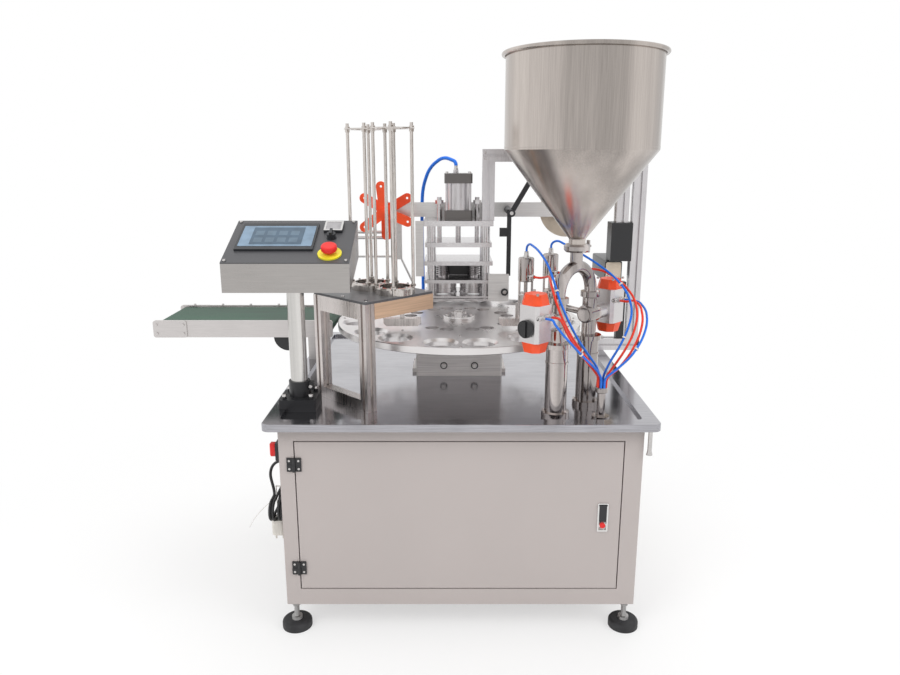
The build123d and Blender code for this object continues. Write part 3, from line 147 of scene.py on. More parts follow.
def world():
    """A white backdrop for the eye and for reflections, and a soft light on everything."""
    room = bpy.data.worlds.new("studio")
    scene.world = room
    room.use_nodes = True
    tree = room.node_tree
    tree.nodes.clear()
    out = tree.nodes.new("ShaderNodeOutputWorld")
    soft = tree.nodes.new("ShaderNodeBackground")
    soft.inputs["Strength"].default_value = SOFT_LIGHT
    soft.inputs["Color"].default_value = (1, 0.995, 0.985, 1)
    seen = tree.nodes.new("ShaderNodeBackground")
    seen.inputs["Color"].default_value = (1, 1, 1, 1)
    mix = tree.nodes.new("ShaderNodeMixShader")
    tree.links.new(seeing_rays(tree), mix.inputs[0])
    tree.links.new(soft.outputs[0], mix.inputs[1])
    tree.links.new(seen.outputs[0], mix.inputs[2])
    tree.links.new(mix.outputs[0], out.inputs[0])


def floor():
    """A pale floor that keeps the machine's shadow and fades into the backdrop."""
    mesh = bpy.data.meshes.new("floor")
    far = 9.0
    mesh.from_pydata([(-far, -far, 0), (far, -far, 0), (far, far, 0), (-far, far, 0)], [], [(0, 1, 2, 3)])
    ground = bpy.data.objects.new("floor", mesh)
    ground.location.z = -0.0005
    scene.collection.objects.link(ground)
    material = bpy.data.materials.new("floor")
    material.use_nodes = True
    tree = material.node_tree
    tree.nodes.clear()
    out = tree.nodes.new("ShaderNodeOutputMaterial")
    matte = tree.nodes.new("ShaderNodeBsdfDiffuse")
    matte.inputs["Color"].default_value = (0.9, 0.9, 0.9, 1)
    glow = tree.nodes.new("ShaderNodeEmission")
    glow.inputs["Strength"].default_value = 1.0
    coords = tree.nodes.new("ShaderNodeTexCoord")
    away = tree.nodes.new("ShaderNodeVectorMath")
    away.operation = "LENGTH"
    fade = tree.nodes.new("ShaderNodeMapRange")
    fade.inputs["From Min"].default_value = FADE_FROM
    fade.inputs["From Max"].default_value = FADE_TO
    fade.inputs["To Min"].default_value = 0.55
    fade.inputs["To Max"].default_value = 1.0
    share = tree.nodes.new("ShaderNodeMath")
    share.operation = "MULTIPLY"
    mix = tree.nodes.new("ShaderNodeMixShader")
    tree.links.new(coords.outputs["Object"], away.inputs[0])
    tree.links.new(away.outputs["Value"], fade.inputs["Value"])
    tree.links.new(seeing_rays(tree), share.inputs[0])
    tree.links.new(fade.outputs["Result"], share.inputs[1])
    tree.links.new(share.outputs[0], mix.inputs[0])
    tree.links.new(matte.outputs[0], mix.inputs[1])
    tree.links.new(glow.outputs[0], mix.inputs[2])
    tree.links.new(mix.outputs[0], out.inputs[0])
    mesh.materials.append(material)


camera()
world()
floor()
for row in LAMPS:
    lamp(*row)


# Materials


def new_material(name, colour, metallic, roughness):
    """A shader with its own tree, ready for a pattern."""
    material = bpy.data.materials.new(name)
    material.use_nodes = True
    tree = material.node_tree
    shader = tree.nodes["Principled BSDF"]
    shader.inputs["Base Color"].default_value = (*colour, 1)
    shader.inputs["Metallic"].default_value = metallic
    shader.inputs["Roughness"].default_value = roughness
    return material, tree, shader


def noise(tree, stretch, detail):
    """A noise over the object's own place, finer along the axes with larger numbers."""
    coords = tree.nodes.new("ShaderNodeTexCoord")
    spread = tree.nodes.new("ShaderNodeMapping")
    spread.inputs["Scale"].default_value = stretch
    grain = tree.nodes.new("ShaderNodeTexNoise")
    grain.inputs["Scale"].default_value = 1.0
    grain.inputs["Detail"].default_value = detail
    tree.links.new(coords.outputs["Object"], spread.inputs["Vector"])
    tree.links.new(spread.outputs["Vector"], grain.inputs["Vector"])
    return grain.outputs[0]


def spread_over(tree, value, socket, low, high):
    """Lets a grey pattern run a number socket from low to high."""
    scale = tree.nodes.new("ShaderNodeMapRange")
    scale.inputs["From Min"].default_value = 0.3
    scale.inputs["From Max"].default_value = 0.7
    scale.inputs["To Min"].default_value = low
    scale.inputs["To Max"].default_value = high
    tree.links.new(value, scale.inputs["Value"])
    tree.links.new(scale.outputs["Result"], socket)


def tint_over(tree, value, socket, dark, light):
    """Lets a grey pattern run a colour socket between two colours."""
    ramp = tree.nodes.new("ShaderNodeValToRGB")
    low, high = ramp.color_ramp.elements
    low.position, low.color = 0.35, (*dark, 1)
    high.position, high.color = 0.65, (*light, 1)
    tree.links.new(value, ramp.inputs[0])
    tree.links.new(ramp.outputs[0], socket)


def bump_with(tree, shader, value, height, strength):
    """Small relief from a pattern, its height in metres."""
    bump = tree.nodes.new("ShaderNodeBump")
    bump.inputs["Strength"].default_value = strength
    bump.inputs["Distance"].default_value = height
    tree.links.new(value, bump.inputs["Height"])
    tree.links.new(bump.outputs["Normal"], shader.inputs["Normal"])


def shade(colour, by):
    """A colour made lighter or darker."""
    return tuple(max(0.0, min(1.0, c * by)) for c in colour)


def metal(name, colour, rough, grain, contrast=0.12, streaks_and_reflection_bands=(9, 9, 9), streak_and_reflection_share=0.4):
    """Bare metal: a stretched grain in its colour, gloss and relief, and broader streaks with their share;
    where these streaks are broad and strong, they are painted reflection bands of a dark room over the grain.
    """
    material, tree, shader = new_material(name, colour, 1.0, rough)
    fine = noise(tree, grain, 5)
    smear = noise(tree, streaks_and_reflection_bands, 3)
    both = tree.nodes.new("ShaderNodeMath")
    both.operation = "MULTIPLY_ADD"
    both.inputs[1].default_value = streak_and_reflection_share
    tree.links.new(smear, both.inputs[0])
    shift = tree.nodes.new("ShaderNodeMath")
    shift.operation = "MULTIPLY"
    shift.inputs[1].default_value = 1 - streak_and_reflection_share
    tree.links.new(fine, shift.inputs[0])
    tree.links.new(shift.outputs[0], both.inputs[2])
    # With a large contrast and broad streaks, these two tones paint dark and light reflection bands into the
    # colour.
    dark, light = shade(colour, 1 - contrast), shade(colour, 1 + contrast)
    tint_over(tree, both.outputs[0], shader.inputs["Base Color"], dark, light)
    spread_over(tree, both.outputs[0], shader.inputs["Roughness"], rough * 0.75, rough * 1.3)
    bump_with(tree, shader, fine, 0.00002, 0.4)
    return material


def paint(name, colour, rough, peel=700):
    """Sprayed paint: orange peel, and slightly duller and darker where hands and dust have been."""
    material, tree, shader = new_material(name, colour, 0.0, rough)
    patches = noise(tree, (3, 3, 2), 4)
    tint_over(tree, patches, shader.inputs["Base Color"], shade(colour, 0.975), shade(colour, 1.02))
    spread_over(tree, patches, shader.inputs["Roughness"], rough * 0.85, rough * 1.2)
    bump_with(tree, shader, noise(tree, (peel, peel, peel), 2), 0.00006, 0.3)
    return material


def plastic(name, colour, rough=0.35, grain=1500):
    """Moulded plastic with a fine spark-eroded grain."""
    material, tree, shader = new_material(name, colour, 0.0, rough)
    shader.inputs["IOR"].default_value = 1.46
    speckle = noise(tree, (grain, grain, grain), 2)
    cloud = noise(tree, (25, 25, 25), 3)
    tint_over(tree, cloud, shader.inputs["Base Color"], shade(colour, 0.9), shade(colour, 1.08))
    spread_over(tree, speckle, shader.inputs["Roughness"], rough * 0.85, rough * 1.25)
    bump_with(tree, shader, speckle, 0.00004, 0.35)
    return material


def rubber(name, colour, rough=0.62):
    """Dull rubber with a dusty bloom."""
    material, tree, shader = new_material(name, colour, 0.0, rough)
    bloom = noise(tree, (40, 40, 40), 6)
    tint_over(tree, bloom, shader.inputs["Base Color"], shade(colour, 0.8), shade(colour, 1.5))
    bump_with(tree, shader, noise(tree, (900, 900, 900), 3), 0.00008, 0.5)
    return material


def turned_metal(name, colour, rough, centre):
    """Faced-off metal: rings round an upright axis."""
    material, tree, shader = new_material(name, colour, 1.0, rough)
    coords = tree.nodes.new("ShaderNodeTexCoord")
    shift = tree.nodes.new("ShaderNodeMapping")
    shift.inputs["Location"].default_value = (-centre.x, -centre.y, 0)
    rings = tree.nodes.new("ShaderNodeTexWave")
    rings.wave_type = "RINGS"
    rings.rings_direction = "Z"
    rings.inputs["Scale"].default_value = 420
    rings.inputs["Distortion"].default_value = 1.2
    rings.inputs["Detail"].default_value = 3
    tree.links.new(coords.outputs["Object"], shift.inputs["Vector"])
    tree.links.new(shift.outputs["Vector"], rings.inputs["Vector"])
    smear = noise(tree, (6, 6, 6), 4)
    tint_over(tree, smear, shader.inputs["Base Color"], shade(colour, 0.92), shade(colour, 1.05))
    spread_over(tree, smear, shader.inputs["Roughness"], rough * 0.85, rough * 1.2)
    bump_with(tree, shader, rings.outputs["Fac"], 0.00002, 0.25)
    return material


def belt_cloth(name, colour):
    """Belting with its woven print and worn lanes."""
    material, tree, shader = new_material(name, colour, 0.0, 0.5)
    weave = noise(tree, (600, 600, 600), 2)
    wear = noise(tree, (3, 14, 3), 5)
    tint_over(tree, wear, shader.inputs["Base Color"], shade(colour, 0.75), shade(colour, 1.35))
    bump_with(tree, shader, weave, 0.0002, 0.6)
    return material


STEEL = (0.62, 0.605, 0.585)
BRIGHT = (0.74, 0.73, 0.72)
looks = {
    "cabinet_paint": paint("cabinet_paint", (0.485, 0.437, 0.423), 0.46),
    "black_rubber": rubber("black_rubber", (0.022, 0.022, 0.024)),
    "plated_steel": metal("plated_steel", (0.60, 0.58, 0.57), 0.2, (300, 300, 300)),
    "black_fittings": paint("black_fittings", (0.018, 0.018, 0.02), 0.36, peel=1200),
    "latch_chrome": metal("latch_chrome", BRIGHT, 0.14, (500, 500, 500), 0.05),
    "latch_black": plastic("latch_black", (0.025, 0.025, 0.028)),
    "signal_red": plastic("signal_red", (0.72, 0.02, 0.018), 0.3),
    # The tray's dark tone is partly a painted reflection, standing in for the dark room its mirror-like steel
    # reflects.
    "tray_steel": metal("tray_steel", (0.42, 0.415, 0.44), 0.14, (14, 500, 500), 0.16),
    "disc_aluminium": turned_metal("disc_aluminium", (0.78, 0.755, 0.75), 0.3, place(0, 0, 0)),
    "press_steel": metal("press_steel", (0.60, 0.58, 0.585), 0.22, (120, 500, 500), 0.14),
    "cylinder_aluminium": metal("cylinder_aluminium", (0.62, 0.60, 0.61), 0.32, (500, 500, 40), 0.1),
    "film_steel": metal("film_steel", (0.70, 0.69, 0.68), 0.34, (12, 300, 300), 0.07),
    "chuck_orange": plastic("chuck_orange", (0.86, 0.085, 0.022), 0.32),
    "reel_beige": plastic("reel_beige", (0.62, 0.53, 0.43), 0.5),
    "roller_black": rubber("roller_black", (0.02, 0.02, 0.022), 0.5),
    # The column's tall broad streaks are partly brushing and partly painted reflection bands of a dark room.
    "column_steel": metal(
        "column_steel", STEEL, 0.2, (60, 60, 900), 0.28, streaks_and_reflection_bands=(30, 30, 0.2), streak_and_reflection_share=0.92,
    ),
    "panel_grey": paint("panel_grey", (0.075, 0.075, 0.08), 0.4, peel=1400),
    "screen_black": plastic("screen_black", (0.03, 0.032, 0.036), 0.22),
    "collar_yellow": plastic("collar_yellow", (0.83, 0.74, 0.04), 0.35),
    "rail_aluminium": metal("rail_aluminium", (0.64, 0.61, 0.60), 0.4, (20, 500, 700), 0.08),
    "belt_green": belt_cloth("belt_green", (0.006, 0.045, 0.022)),
    "motor_black": paint("motor_black", (0.03, 0.031, 0.033), 0.5),
    "stand_steel": metal("stand_steel", (0.64, 0.595, 0.575), 0.28, (250, 250, 8), 0.16),
    "stand_plate": paint("stand_plate", (0.10, 0.10, 0.108), 0.34, peel=1500),
    "rod_steel": metal("rod_steel", (0.60, 0.56, 0.53), 0.18, (500, 500, 60), 0.2),
    # The product steel's darker warm tone and broad streaks are partly brushing and partly painted
    # reflections of a dark, warm room.
    "product_steel": metal(
        "product_steel", (0.47, 0.43, 0.415), 0.12, (200, 200, 400), 0.35, streaks_and_reflection_bands=(30, 30, 0.3), streak_and_reflection_share=0.9,
    ),
    # The hopper's dark warm tone and strong broad vertical bands are painted reflections of a dark, warm
    # room, over its brushed grain.
    "hopper_steel": metal(
        "hopper_steel", (0.40, 0.362, 0.335), 0.2, (400, 400, 10), 0.6, streaks_and_reflection_bands=(6, 6, 0.1), streak_and_reflection_share=0.88,
    ),
    "actuator_aluminium": metal("actuator_aluminium", (0.68, 0.66, 0.66), 0.36, (300, 300, 300), 0.06),
    "indicator_black": plastic("indicator_black", (0.02, 0.02, 0.022), 0.28),
    "hose_blue": plastic("hose_blue", (0.012, 0.16, 0.72), 0.28, grain=400),
    "hose_red": plastic("hose_red", (0.80, 0.045, 0.02), 0.28, grain=400),
    "cord_black": rubber("cord_black", (0.016, 0.016, 0.017), 0.48),
    "plug_white": plastic("plug_white", (0.74, 0.71, 0.66), 0.4),
}


def thread_with_painted_shade(name, colour):
    """Plated thread: fine rings along the stud, their grooves painted darker as painted shade."""
    material, tree, shader = new_material(name, colour, 1.0, 0.3)
    coords = tree.nodes.new("ShaderNodeTexCoord")
    rings = tree.nodes.new("ShaderNodeTexWave")
    rings.bands_direction = "Z"
    rings.inputs["Scale"].default_value = 180
    tree.links.new(coords.outputs["Object"], rings.inputs["Vector"])
    # The darker tone in each groove is painted shade, not the plating's colour.
    tint_over(tree, rings.outputs["Fac"], shader.inputs["Base Color"], shade(colour, 0.6), colour)
    bump_with(tree, shader, rings.outputs["Fac"], 0.0008, 0.8)
    return material


def satin(name, colour):
    """Milled plate with a dull bloom, pale from every side."""
    material, tree, shader = new_material(name, colour, 0.2, 0.42)
    grain = noise(tree, (8, 8, 300), 5)
    tint_over(tree, grain, shader.inputs["Base Color"], shade(colour, 0.88), shade(colour, 1.1))
    spread_over(tree, grain, shader.inputs["Roughness"], 0.32, 0.5)
    bump_with(tree, shader, grain, 0.00003, 0.4)
    return material


def finish_nodes():
    """Every sub-part takes the look of its own slot; a few have a look of their own within it, and the index
    housing's is painted light that lifts it out of its shade under the disc.
    """
    own = {
        "foot_studs": thread_with_painted_shade("stud_thread_painted_shade", BRIGHT),
        # The housing's colour is raised far above its real tone: painted light, making up for the shade it
        # stands in under the disc.
        "index_housing": satin("housing_painted_light", (0.92, 0.87, 0.85)),
        "operator_box": metal("box_steel", (0.42, 0.40, 0.385), 0.3, (12, 400, 400), 0.06),
    }
    for part in frame["record"]["subparts"]:
        node = nodes[part["node"]]
        node.data.materials.clear()
        node.data.materials.append(own.get(part["node"], looks[part["material_slot"]]))


def second_look(node, low, high, look):
    """Gives a node's faces within a box of the machine a second look."""
    mesh = nodes[node].data
    mesh.materials.append(look)
    low, high = place(*low), place(*high)
    for face in mesh.polygons:
        if all(low[n] < face.center[n] < high[n] for n in range(3)):
            face.material_index = len(mesh.materials) - 1


finish_nodes()
bracket_grey = satin("bracket_grey", (0.62, 0.60, 0.59))
second_look("film_brackets", (-150, 150, 850), (-110, 330, 1050), bracket_grey)
second_look("film_brackets", (95, 150, 765), (200, 222, 870), bracket_grey)
for bottom, top in ((150, 220), (445, 515)):
    second_look("door_fittings", (-460, -485, bottom), (-395, -430, top), looks["black_fittings"])


# Mesh helpers


def across(axis):
    """Two directions square to an axis."""
    axis = Vector(axis).normalized()
    helper = Vector((0, 0, 1)) if abs(axis.z) < 0.9 else Vector((1, 0, 0))
    side = axis.cross(helper).normalized()
    return axis, side, axis.cross(side)


def lathe(bm, spot, axis, profile, sides=24, turn=0.0):
    """Turns a profile of (radius, height) in millimetres round an axis through a point of the frame."""
    axis, side, up = across(axis)
    rings = []
    for r, h in profile:
        centre = spot + axis * h * MM
        if r == 0:
            rings.append([bm.verts.new(centre)])
            continue
        ring = []
        for n in range(sides):
            a = 2 * math.pi * n / sides + turn
            ring.append(bm.verts.new(centre + (side * math.cos(a) + up * math.sin(a)) * r * MM))
        rings.append(ring)
    for low, high in zip(rings, rings[1:]):
        for n in range(sides):
            after = n + 1
            corners = [low[n % len(low)], low[after % len(low)], high[after % len(high)], high[n % len(high)]]
            corners = [v for i, v in enumerate(corners) if v not in corners[:i]]
            if len(corners) > 2:
                bm.faces.new(corners)


def sweep(bm, points, r, sides=8):
    """A round wire of radius r in metres along a list of points."""
    rings = []
    last = len(points) - 1
    for n, point in enumerate(points):
        axis, side, up = across(points[min(n + 1, last)] - points[max(n - 1, 0)])
        rings.append([
            bm.verts.new(point + (side * math.cos(a) + up * math.sin(a)) * r)
            for a in (2 * math.pi * k / sides for k in range(sides))
        ])
    for low, high in zip(rings, rings[1:]):
        for k in range(sides):
            bm.faces.new((low[k], low[(k + 1) % sides], high[(k + 1) % sides], high[k]))
    bm.faces.new(rings[0])
    bm.faces.new(rings[-1])


def slab(bm, corner, along, over, out, width, height, thick, bevel=0.0):
    """A flat plate from its corner, with a chamfered outline; sizes in metres, directions of length one."""
    outline = [
        (bevel, 0), (width - bevel, 0), (width, bevel), (width, height - bevel),
        (width - bevel, height), (bevel, height), (0, height - bevel), (0, bevel),
    ]
    low = [bm.verts.new(corner + along * u + over * v) for u, v in outline]
    high = [bm.verts.new(corner + along * u + over * v + out * thick) for u, v in outline]
    bm.faces.new(low)
    bm.faces.new(high)
    for n in range(8):
        bm.faces.new((low[n], low[(n + 1) % 8], high[(n + 1) % 8], high[n]))


def piece(name, bm, body, slot, look=None, flat=False):
    """Makes an object of a mesh, with its slot's look or one of its own, riding on a body."""
    bmesh.ops.remove_doubles(bm, verts=bm.verts, dist=1e-7)
    bmesh.ops.recalc_face_normals(bm, faces=bm.faces)
    mesh = bpy.data.meshes.new(name)
    bm.to_mesh(mesh)
    bm.free()
    made = bpy.data.objects.new(name, mesh)
    scene.collection.objects.link(made)
    mesh.materials.append(look or looks[slot])
    if not flat:
        for face in mesh.polygons:
            face.use_smooth = True
        edges = made.modifiers.new("edges", "EDGE_SPLIT")
        edges.split_angle = math.radians(32)
    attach(made, body)
    return made


def cap_screw(bm, spot, axis, r=3.5):
    """A socket head cap screw."""
    lathe(bm, spot, axis, [(r, -1), (r, r * 0.9), (r * 0.88, r * 1.1), (r * 0.55, r * 1.1)], 20)
    lathe(bm, spot, axis, [(r * 0.55, r * 1.1), (r * 0.5, r * 0.45), (0, r * 0.4)], 6)


def pan_screw(bm, spot, axis, r=4.0):
    """A low domed screw with a dimple in its middle."""
    dome = [
        (r, -1), (r, r * 0.15), (r * 0.85, r * 0.42), (r * 0.5, r * 0.56), (r * 0.22, r * 0.58), (0, r * 0.3),
    ]
    lathe(bm, spot, axis, dome, 20)


def hex_nut(bm, spot, axis, r=7.0, h=5.0, turn=0.0):
    """A chamfered nut with a stub of thread through it."""
    lathe(bm, spot, axis, [(r * 0.5, 0), (r, 0), (r, h * 0.85), (r * 0.86, h), (r * 0.5, h)], 6, turn)
    thread = [(r * 0.52 - (0.35 if n % 2 else 0), h + n * 0.7) for n in range(6)]
    lathe(bm, spot, axis, [(r * 0.52, -0.5), *thread, (0, h + 4)], 16)


RIGHT = Vector((1, 0, 0))
BACK = Vector((0, 1, 0))
UP = Vector((0, 0, 1))
INWARD = Vector((SLANT, SLANT, 0))
ALONG = Vector((SLANT, -SLANT, 0))


# Power cord


CORD_R = 4.0
EXIT = (-485, -300, 420)
LEAD = [
    EXIT, (-497, -300, 420), (-511, -300, 417), (-523, -301, 408), (-530, -303, 394), (-531, -308, 379),
    (-526, -316, 364), (-519, -328, 352), (-514, -341, 344), (-511, -354, 341),
]
TAIL = [
    (-495, -356, 338.6), (-495.5, -366.6, 331.6), (-496.5, -373.6, 321), (-497, -376, 309), (-497, -376, 297),
]
PLUG_TOP = (-497, -376, 285)
LANES = (-511, -503, -471, -479, -487, -495)
CROSSING = 1
HANK_Y = (-390, -290)
HANK_Z = 315
LOOP_R = 26
STEPS = 28
STRAY = 9


def eased(value, low, high):
    """From 0 at low to 1 at high, starting and ending gently."""
    part = min(1.0, max(0.0, (value - low) / (high - low)))
    return part * part * (3 - 2 * part)


def on_loop(share, out):
    """A place on one turn of the hank, from the middle of its top run towards the front: (y, z)."""
    half = (HANK_Y[1] - HANK_Y[0]) / 2
    bend = math.pi * LOOP_R
    r = LOOP_R + out
    at = share * (4 * half + 2 * bend)
    if at < half:
        return HANK_Y[0] + half - at, HANK_Z + r
    at -= half
    if at < bend:
        a = at / LOOP_R
        return HANK_Y[0] - r * math.sin(a), HANK_Z + r * math.cos(a)
    at -= bend
    if at < 2 * half:
        return HANK_Y[0] + at, HANK_Z - r
    at -= 2 * half
    if at < bend:
        a = at / LOOP_R
        return HANK_Y[1] + r * math.sin(a), HANK_Z - r * math.cos(a)
    at -= bend
    return HANK_Y[1] - at, HANK_Z + r


def hank_points():
    """The hank's turns side by side; one crosses under the others, outside their back bend."""
    points = []
    for n, x in enumerate(LANES[:-1]):
        start, out = (0.3, STRAY) if n == CROSSING else (0.55, 0)
        for k in range(1 if n else 2, STEPS + 1):
            share = k / STEPS
            y, z = on_loop(share, out * eased(share, 0.3, 0.46) * (1 - eased(share, 0.86, 1.0)))
            points.append((x + (LANES[n + 1] - x) * eased(share, start, 0.96), y, z))
    return points


def power_cord():
    """The mains lead: out of its gland, down into a tied hank beside the cabinet, and to its plug."""
    route = [*LEAD, *hank_points(), *TAIL, PLUG_TOP]
    data = bpy.data.curves.new("power_cord", "CURVE")
    data.dimensions = "3D"
    data.bevel_depth = CORD_R * MM
    data.bevel_resolution = 4
    data.resolution_u = 6
    spline = data.splines.new("NURBS")
    spline.points.add(len(route) - 1)
    for point, spot in zip(spline.points, route):
        point.co = (*place(*spot), 1)
    spline.order_u = 3
    spline.use_endpoint_u = True
    cord = bpy.data.objects.new("power_cord_lead", data)
    scene.collection.objects.link(cord)
    data.materials.append(looks["cord_black"])
    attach(cord, "machine_base")
    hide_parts("power_cord", "cord_hank")
    relief = bmesh.new()
    sleeve = [(4.3, 0), (8.5, 0)]
    for n in range(5):
        r = 8.2 - n * 0.7
        sleeve += [(r, 1 + n * 3.8), (r, 3 + n * 3.8), (r - 1.1, 3.4 + n * 3.8), (r - 1.1, 4.4 + n * 3.8)]
    lathe(relief, place(*EXIT), -RIGHT, [*sleeve, (4.2, 20.5)])
    relief = piece("cord_strain_relief", relief, "machine_base", "cord_black")
    tie = hank_tie()


def strip(bm, points, width, thick):
    """A flat strip along points of the machine, its width in metres towards the back."""
    for low, high in zip(points, points[1:]):
        start = place(*low) - BACK * width / 2
        way = place(*high) - place(*low)
        out = way.normalized().cross(BACK)
        slab(bm, start, way.normalized(), BACK, out, way.length + thick / 2, width, thick)


def hank_tie():
    """A white tie round the hank, with its head and its long loose tail."""
    bm = bmesh.new()
    y = -312
    x0, x1 = min(LANES) - CORD_R - 1, max(LANES) + CORD_R + 1
    z0, z1 = HANK_Z - LOOP_R - STRAY - CORD_R - 1, HANK_Z + LOOP_R + CORD_R + 4
    ring = [(x0, y, z0), (x1, y, z0), (x1, y, z1), (x0, y, z1), (x0, y, z0)]
    strip(bm, ring, 4.8 * MM, 1.2 * MM)
    slab(bm, place(x0 - 6, y - 4, 312), RIGHT, BACK, UP, 6 * MM, 8 * MM, 7 * MM, 1 * MM)
    tail = [(x0 - 3, 312), (x0 - 14, 303), (x0 - 30, 290), (x0 - 50, 270), (x0 - 68, 247), (x0 - 82, 222)]
    strip(bm, [(x, y, z) for x, z in tail], 3.6 * MM, 1.1 * MM)
    return piece("hank_tie", bm, "machine_base", "plug_white")


# Fasteners and small fittings


def hinge_screws():
    """Four screws on each hinge, two on the frame's leaf and two on the door's."""
    for body, side in (("machine_base", -1), ("cabinet_door", 1)):
        bm = bmesh.new()
        for level in (186, 480):
            for step in (-11, 11):
                pan_screw(bm, place(-427 + side * 12, -468, level + step), -BACK, 3.4)
        piece(f"hinge_screws_{body}", bm, body, "plated_steel")


PANEL_SLOPE = math.atan2(86, 191)
PANEL_UP = Vector((0, math.cos(PANEL_SLOPE), math.sin(PANEL_SLOPE)))
PANEL_OUT = Vector((0, -math.sin(PANEL_SLOPE), math.cos(PANEL_SLOPE)))
PANEL_FOOT = (-432, -430, 991)
DISPLAY = (-37, 119)
METER = (101, 168)
GLOW = 0.1


def on_panel(x, s, lift=0.0):
    """A place over the operator panel: across from its middle, up its slope, and off its face."""
    y = PANEL_FOOT[1] + s * math.cos(PANEL_SLOPE) - lift * math.sin(PANEL_SLOPE)
    z = PANEL_FOOT[2] + s * math.sin(PANEL_SLOPE) + lift * math.cos(PANEL_SLOPE)
    return place(PANEL_FOOT[0] + x, y, z)


def panel_height(node, near=None):
    """How far a node's highest point stands off the panel's foot, in millimetres."""
    base = on_panel(0, 0)
    spots = [v.co for v in nodes[node].data.vertices]
    if near:
        middle = on_panel(*near)
        spots = [
            co for co in spots
            if (co - middle).length < 0.13
            and abs((co - base).x / MM - near[0]) < 100
            and abs((co - middle).dot(PANEL_UP) / MM) < 66
        ]
    return max((co - base).dot(PANEL_OUT) for co in spots) / MM


def panel_plate(bm, corner, width, height, thick, bevel=0.0):
    """A plate lying on the operator panel, its sizes in millimetres."""
    slab(bm, corner, RIGHT, PANEL_UP, PANEL_OUT, width * MM, height * MM, thick * MM, bevel * MM)


def display_piece(name, bm, colour):
    """A flat piece of a display, with its own faintly lit colour."""
    piece(name, bm, "machine_base", "screen_black", glow_look(name, colour, GLOW), True)


def panel_details():
    """Corner screws, the display's lit face and its keys, and the meter's frame and window."""
    face = panel_height("operator_panel")
    top = panel_height("operator_screen", DISPLAY)
    x, s = DISPLAY
    bm = bmesh.new()
    for side in (-149, 149):
        for step in (9, 200):
            pan_screw(bm, on_panel(side, step, face), PANEL_OUT, 4.2)
    piece("panel_screws", bm, "machine_base", "plated_steel")
    bm = bmesh.new()
    panel_plate(bm, on_panel(x - 93, s - 50, top), 186, 100, 0.6, 2)
    display_piece("display_surround", bm, (0.17, 0.25, 0.34))
    bm = bmesh.new()
    panel_plate(bm, on_panel(x - 66, s - 42, top + 0.6), 132, 84, 0.5, 1)
    display_piece("display_face", bm, (0.055, 0.095, 0.14))
    bm = bmesh.new()
    for n in range(4):
        for k in range(2):
            panel_plate(bm, on_panel(x - 58 + n * 30, s - 32 + k * 34, top + 1.1), 22, 22, 0.2, 1)
    display_piece("display_keys", bm, (0.09, 0.14, 0.19))
    x, s = METER
    corner = on_panel(x - 24, s - 24, panel_height("operator_screen", METER))
    bm = bmesh.new()
    for u, v, w, h in ((0, 0, 48, 5), (0, 43, 48, 5), (0, 5, 5, 38), (43, 5, 5, 38)):
        panel_plate(bm, corner + RIGHT * u * MM + PANEL_UP * v * MM, w, h, 2, 0.5)
    piece("meter_frame", bm, "machine_base", "latch_chrome")
    bm = bmesh.new()
    panel_plate(bm, corner + (RIGHT + PANEL_UP) * 5 * MM, 38, 38, 0.8)
    display_piece("meter_window", bm, (0.34, 0.33, 0.34))


def glow_look(name, colour, light):
    """A display under glass: its own colour with a faint light, and finger marks in its gloss."""
    material, tree, shader = new_material(name, colour, 0.0, 0.12)
    marks = noise(tree, (30, 30, 30), 4)
    tint_over(tree, marks, shader.inputs["Base Color"], shade(colour, 0.85), shade(colour, 1.12))
    spread_over(tree, marks, shader.inputs["Roughness"], 0.08, 0.24)
    shader.inputs["Emission Color"].default_value = (*colour, 1)
    shader.inputs["Emission Strength"].default_value = light
    return material


def stand_screws():
    """Bright screws in the operator column's black foot and its clamp."""
    bm = bmesh.new()
    for x in (-35, 35):
        for y in (-35, 35):
            cap_screw(bm, place(-431 + x, -330 + y, 630), UP, 6)
    cap_screw(bm, place(-431 + 31, -339, 650), -BACK, 5)
    piece("column_foot_screws", bm, "machine_base", "plated_steel")


def dispenser_screws():
    """Nuts on the magazine rods, screws in the magazine rings and in the dispenser's top."""
    nuts = bmesh.new()
    screws = bmesh.new()
    for x, y in ((-177, -252), (-252, -177)):
        for dx, dy in ((50, 0), (-50, 0), (0, 50), (0, -50)):
            hex_nut(nuts, place(x + dx, y + dy, 1318), UP, 7, 5, 0.3)
            lathe(nuts, place(x + dx, y + dy, 1308), UP, [(4, 0), (7, 0), (7, 7), (4, 7)], 6)
            lathe(nuts, place(x + dx, y + dy, 906), UP, [(4, 0), (8, 0), (8, 5), (6.5, 6.5), (4, 6.5)], 6)
        for turn in range(4):
            a = math.radians(45 + 90 * turn)
            cap_screw(screws, place(x + 47 * math.cos(a), y + 47 * math.sin(a), 906), UP, 3.2)
    for a, b in ((14, 14), (14, 112), (14, 212), (120, 10), (224, 14)):
        pan_screw(screws, on_stand(a, b, 886), UP, 4.5)
    piece("magazine_nuts", nuts, "machine_base", "rod_steel")
    piece("dispenser_screws", screws, "machine_base", "plated_steel")


def dispenser_reflection_panel():
    """A thin sheet on the dispenser's right side panel, in a warm brown with a brushed grain: a painted
    reflection of the room.
    """
    bm = bmesh.new()
    # The sheet's warm brown is a painted reflection of the room, not the panel's own colour.
    slab(bm, on_stand(30.5, -0.1, 838.4), INWARD, UP, ALONG, 207 * MM, 41.2 * MM, 0.7 * MM, 0.5 * MM)
    painted_reflection = satin("dispenser_painted_reflection", (0.66, 0.45, 0.31))
    piece("dispenser_reflection_sheet", bm, "machine_base", "stand_steel", painted_reflection)


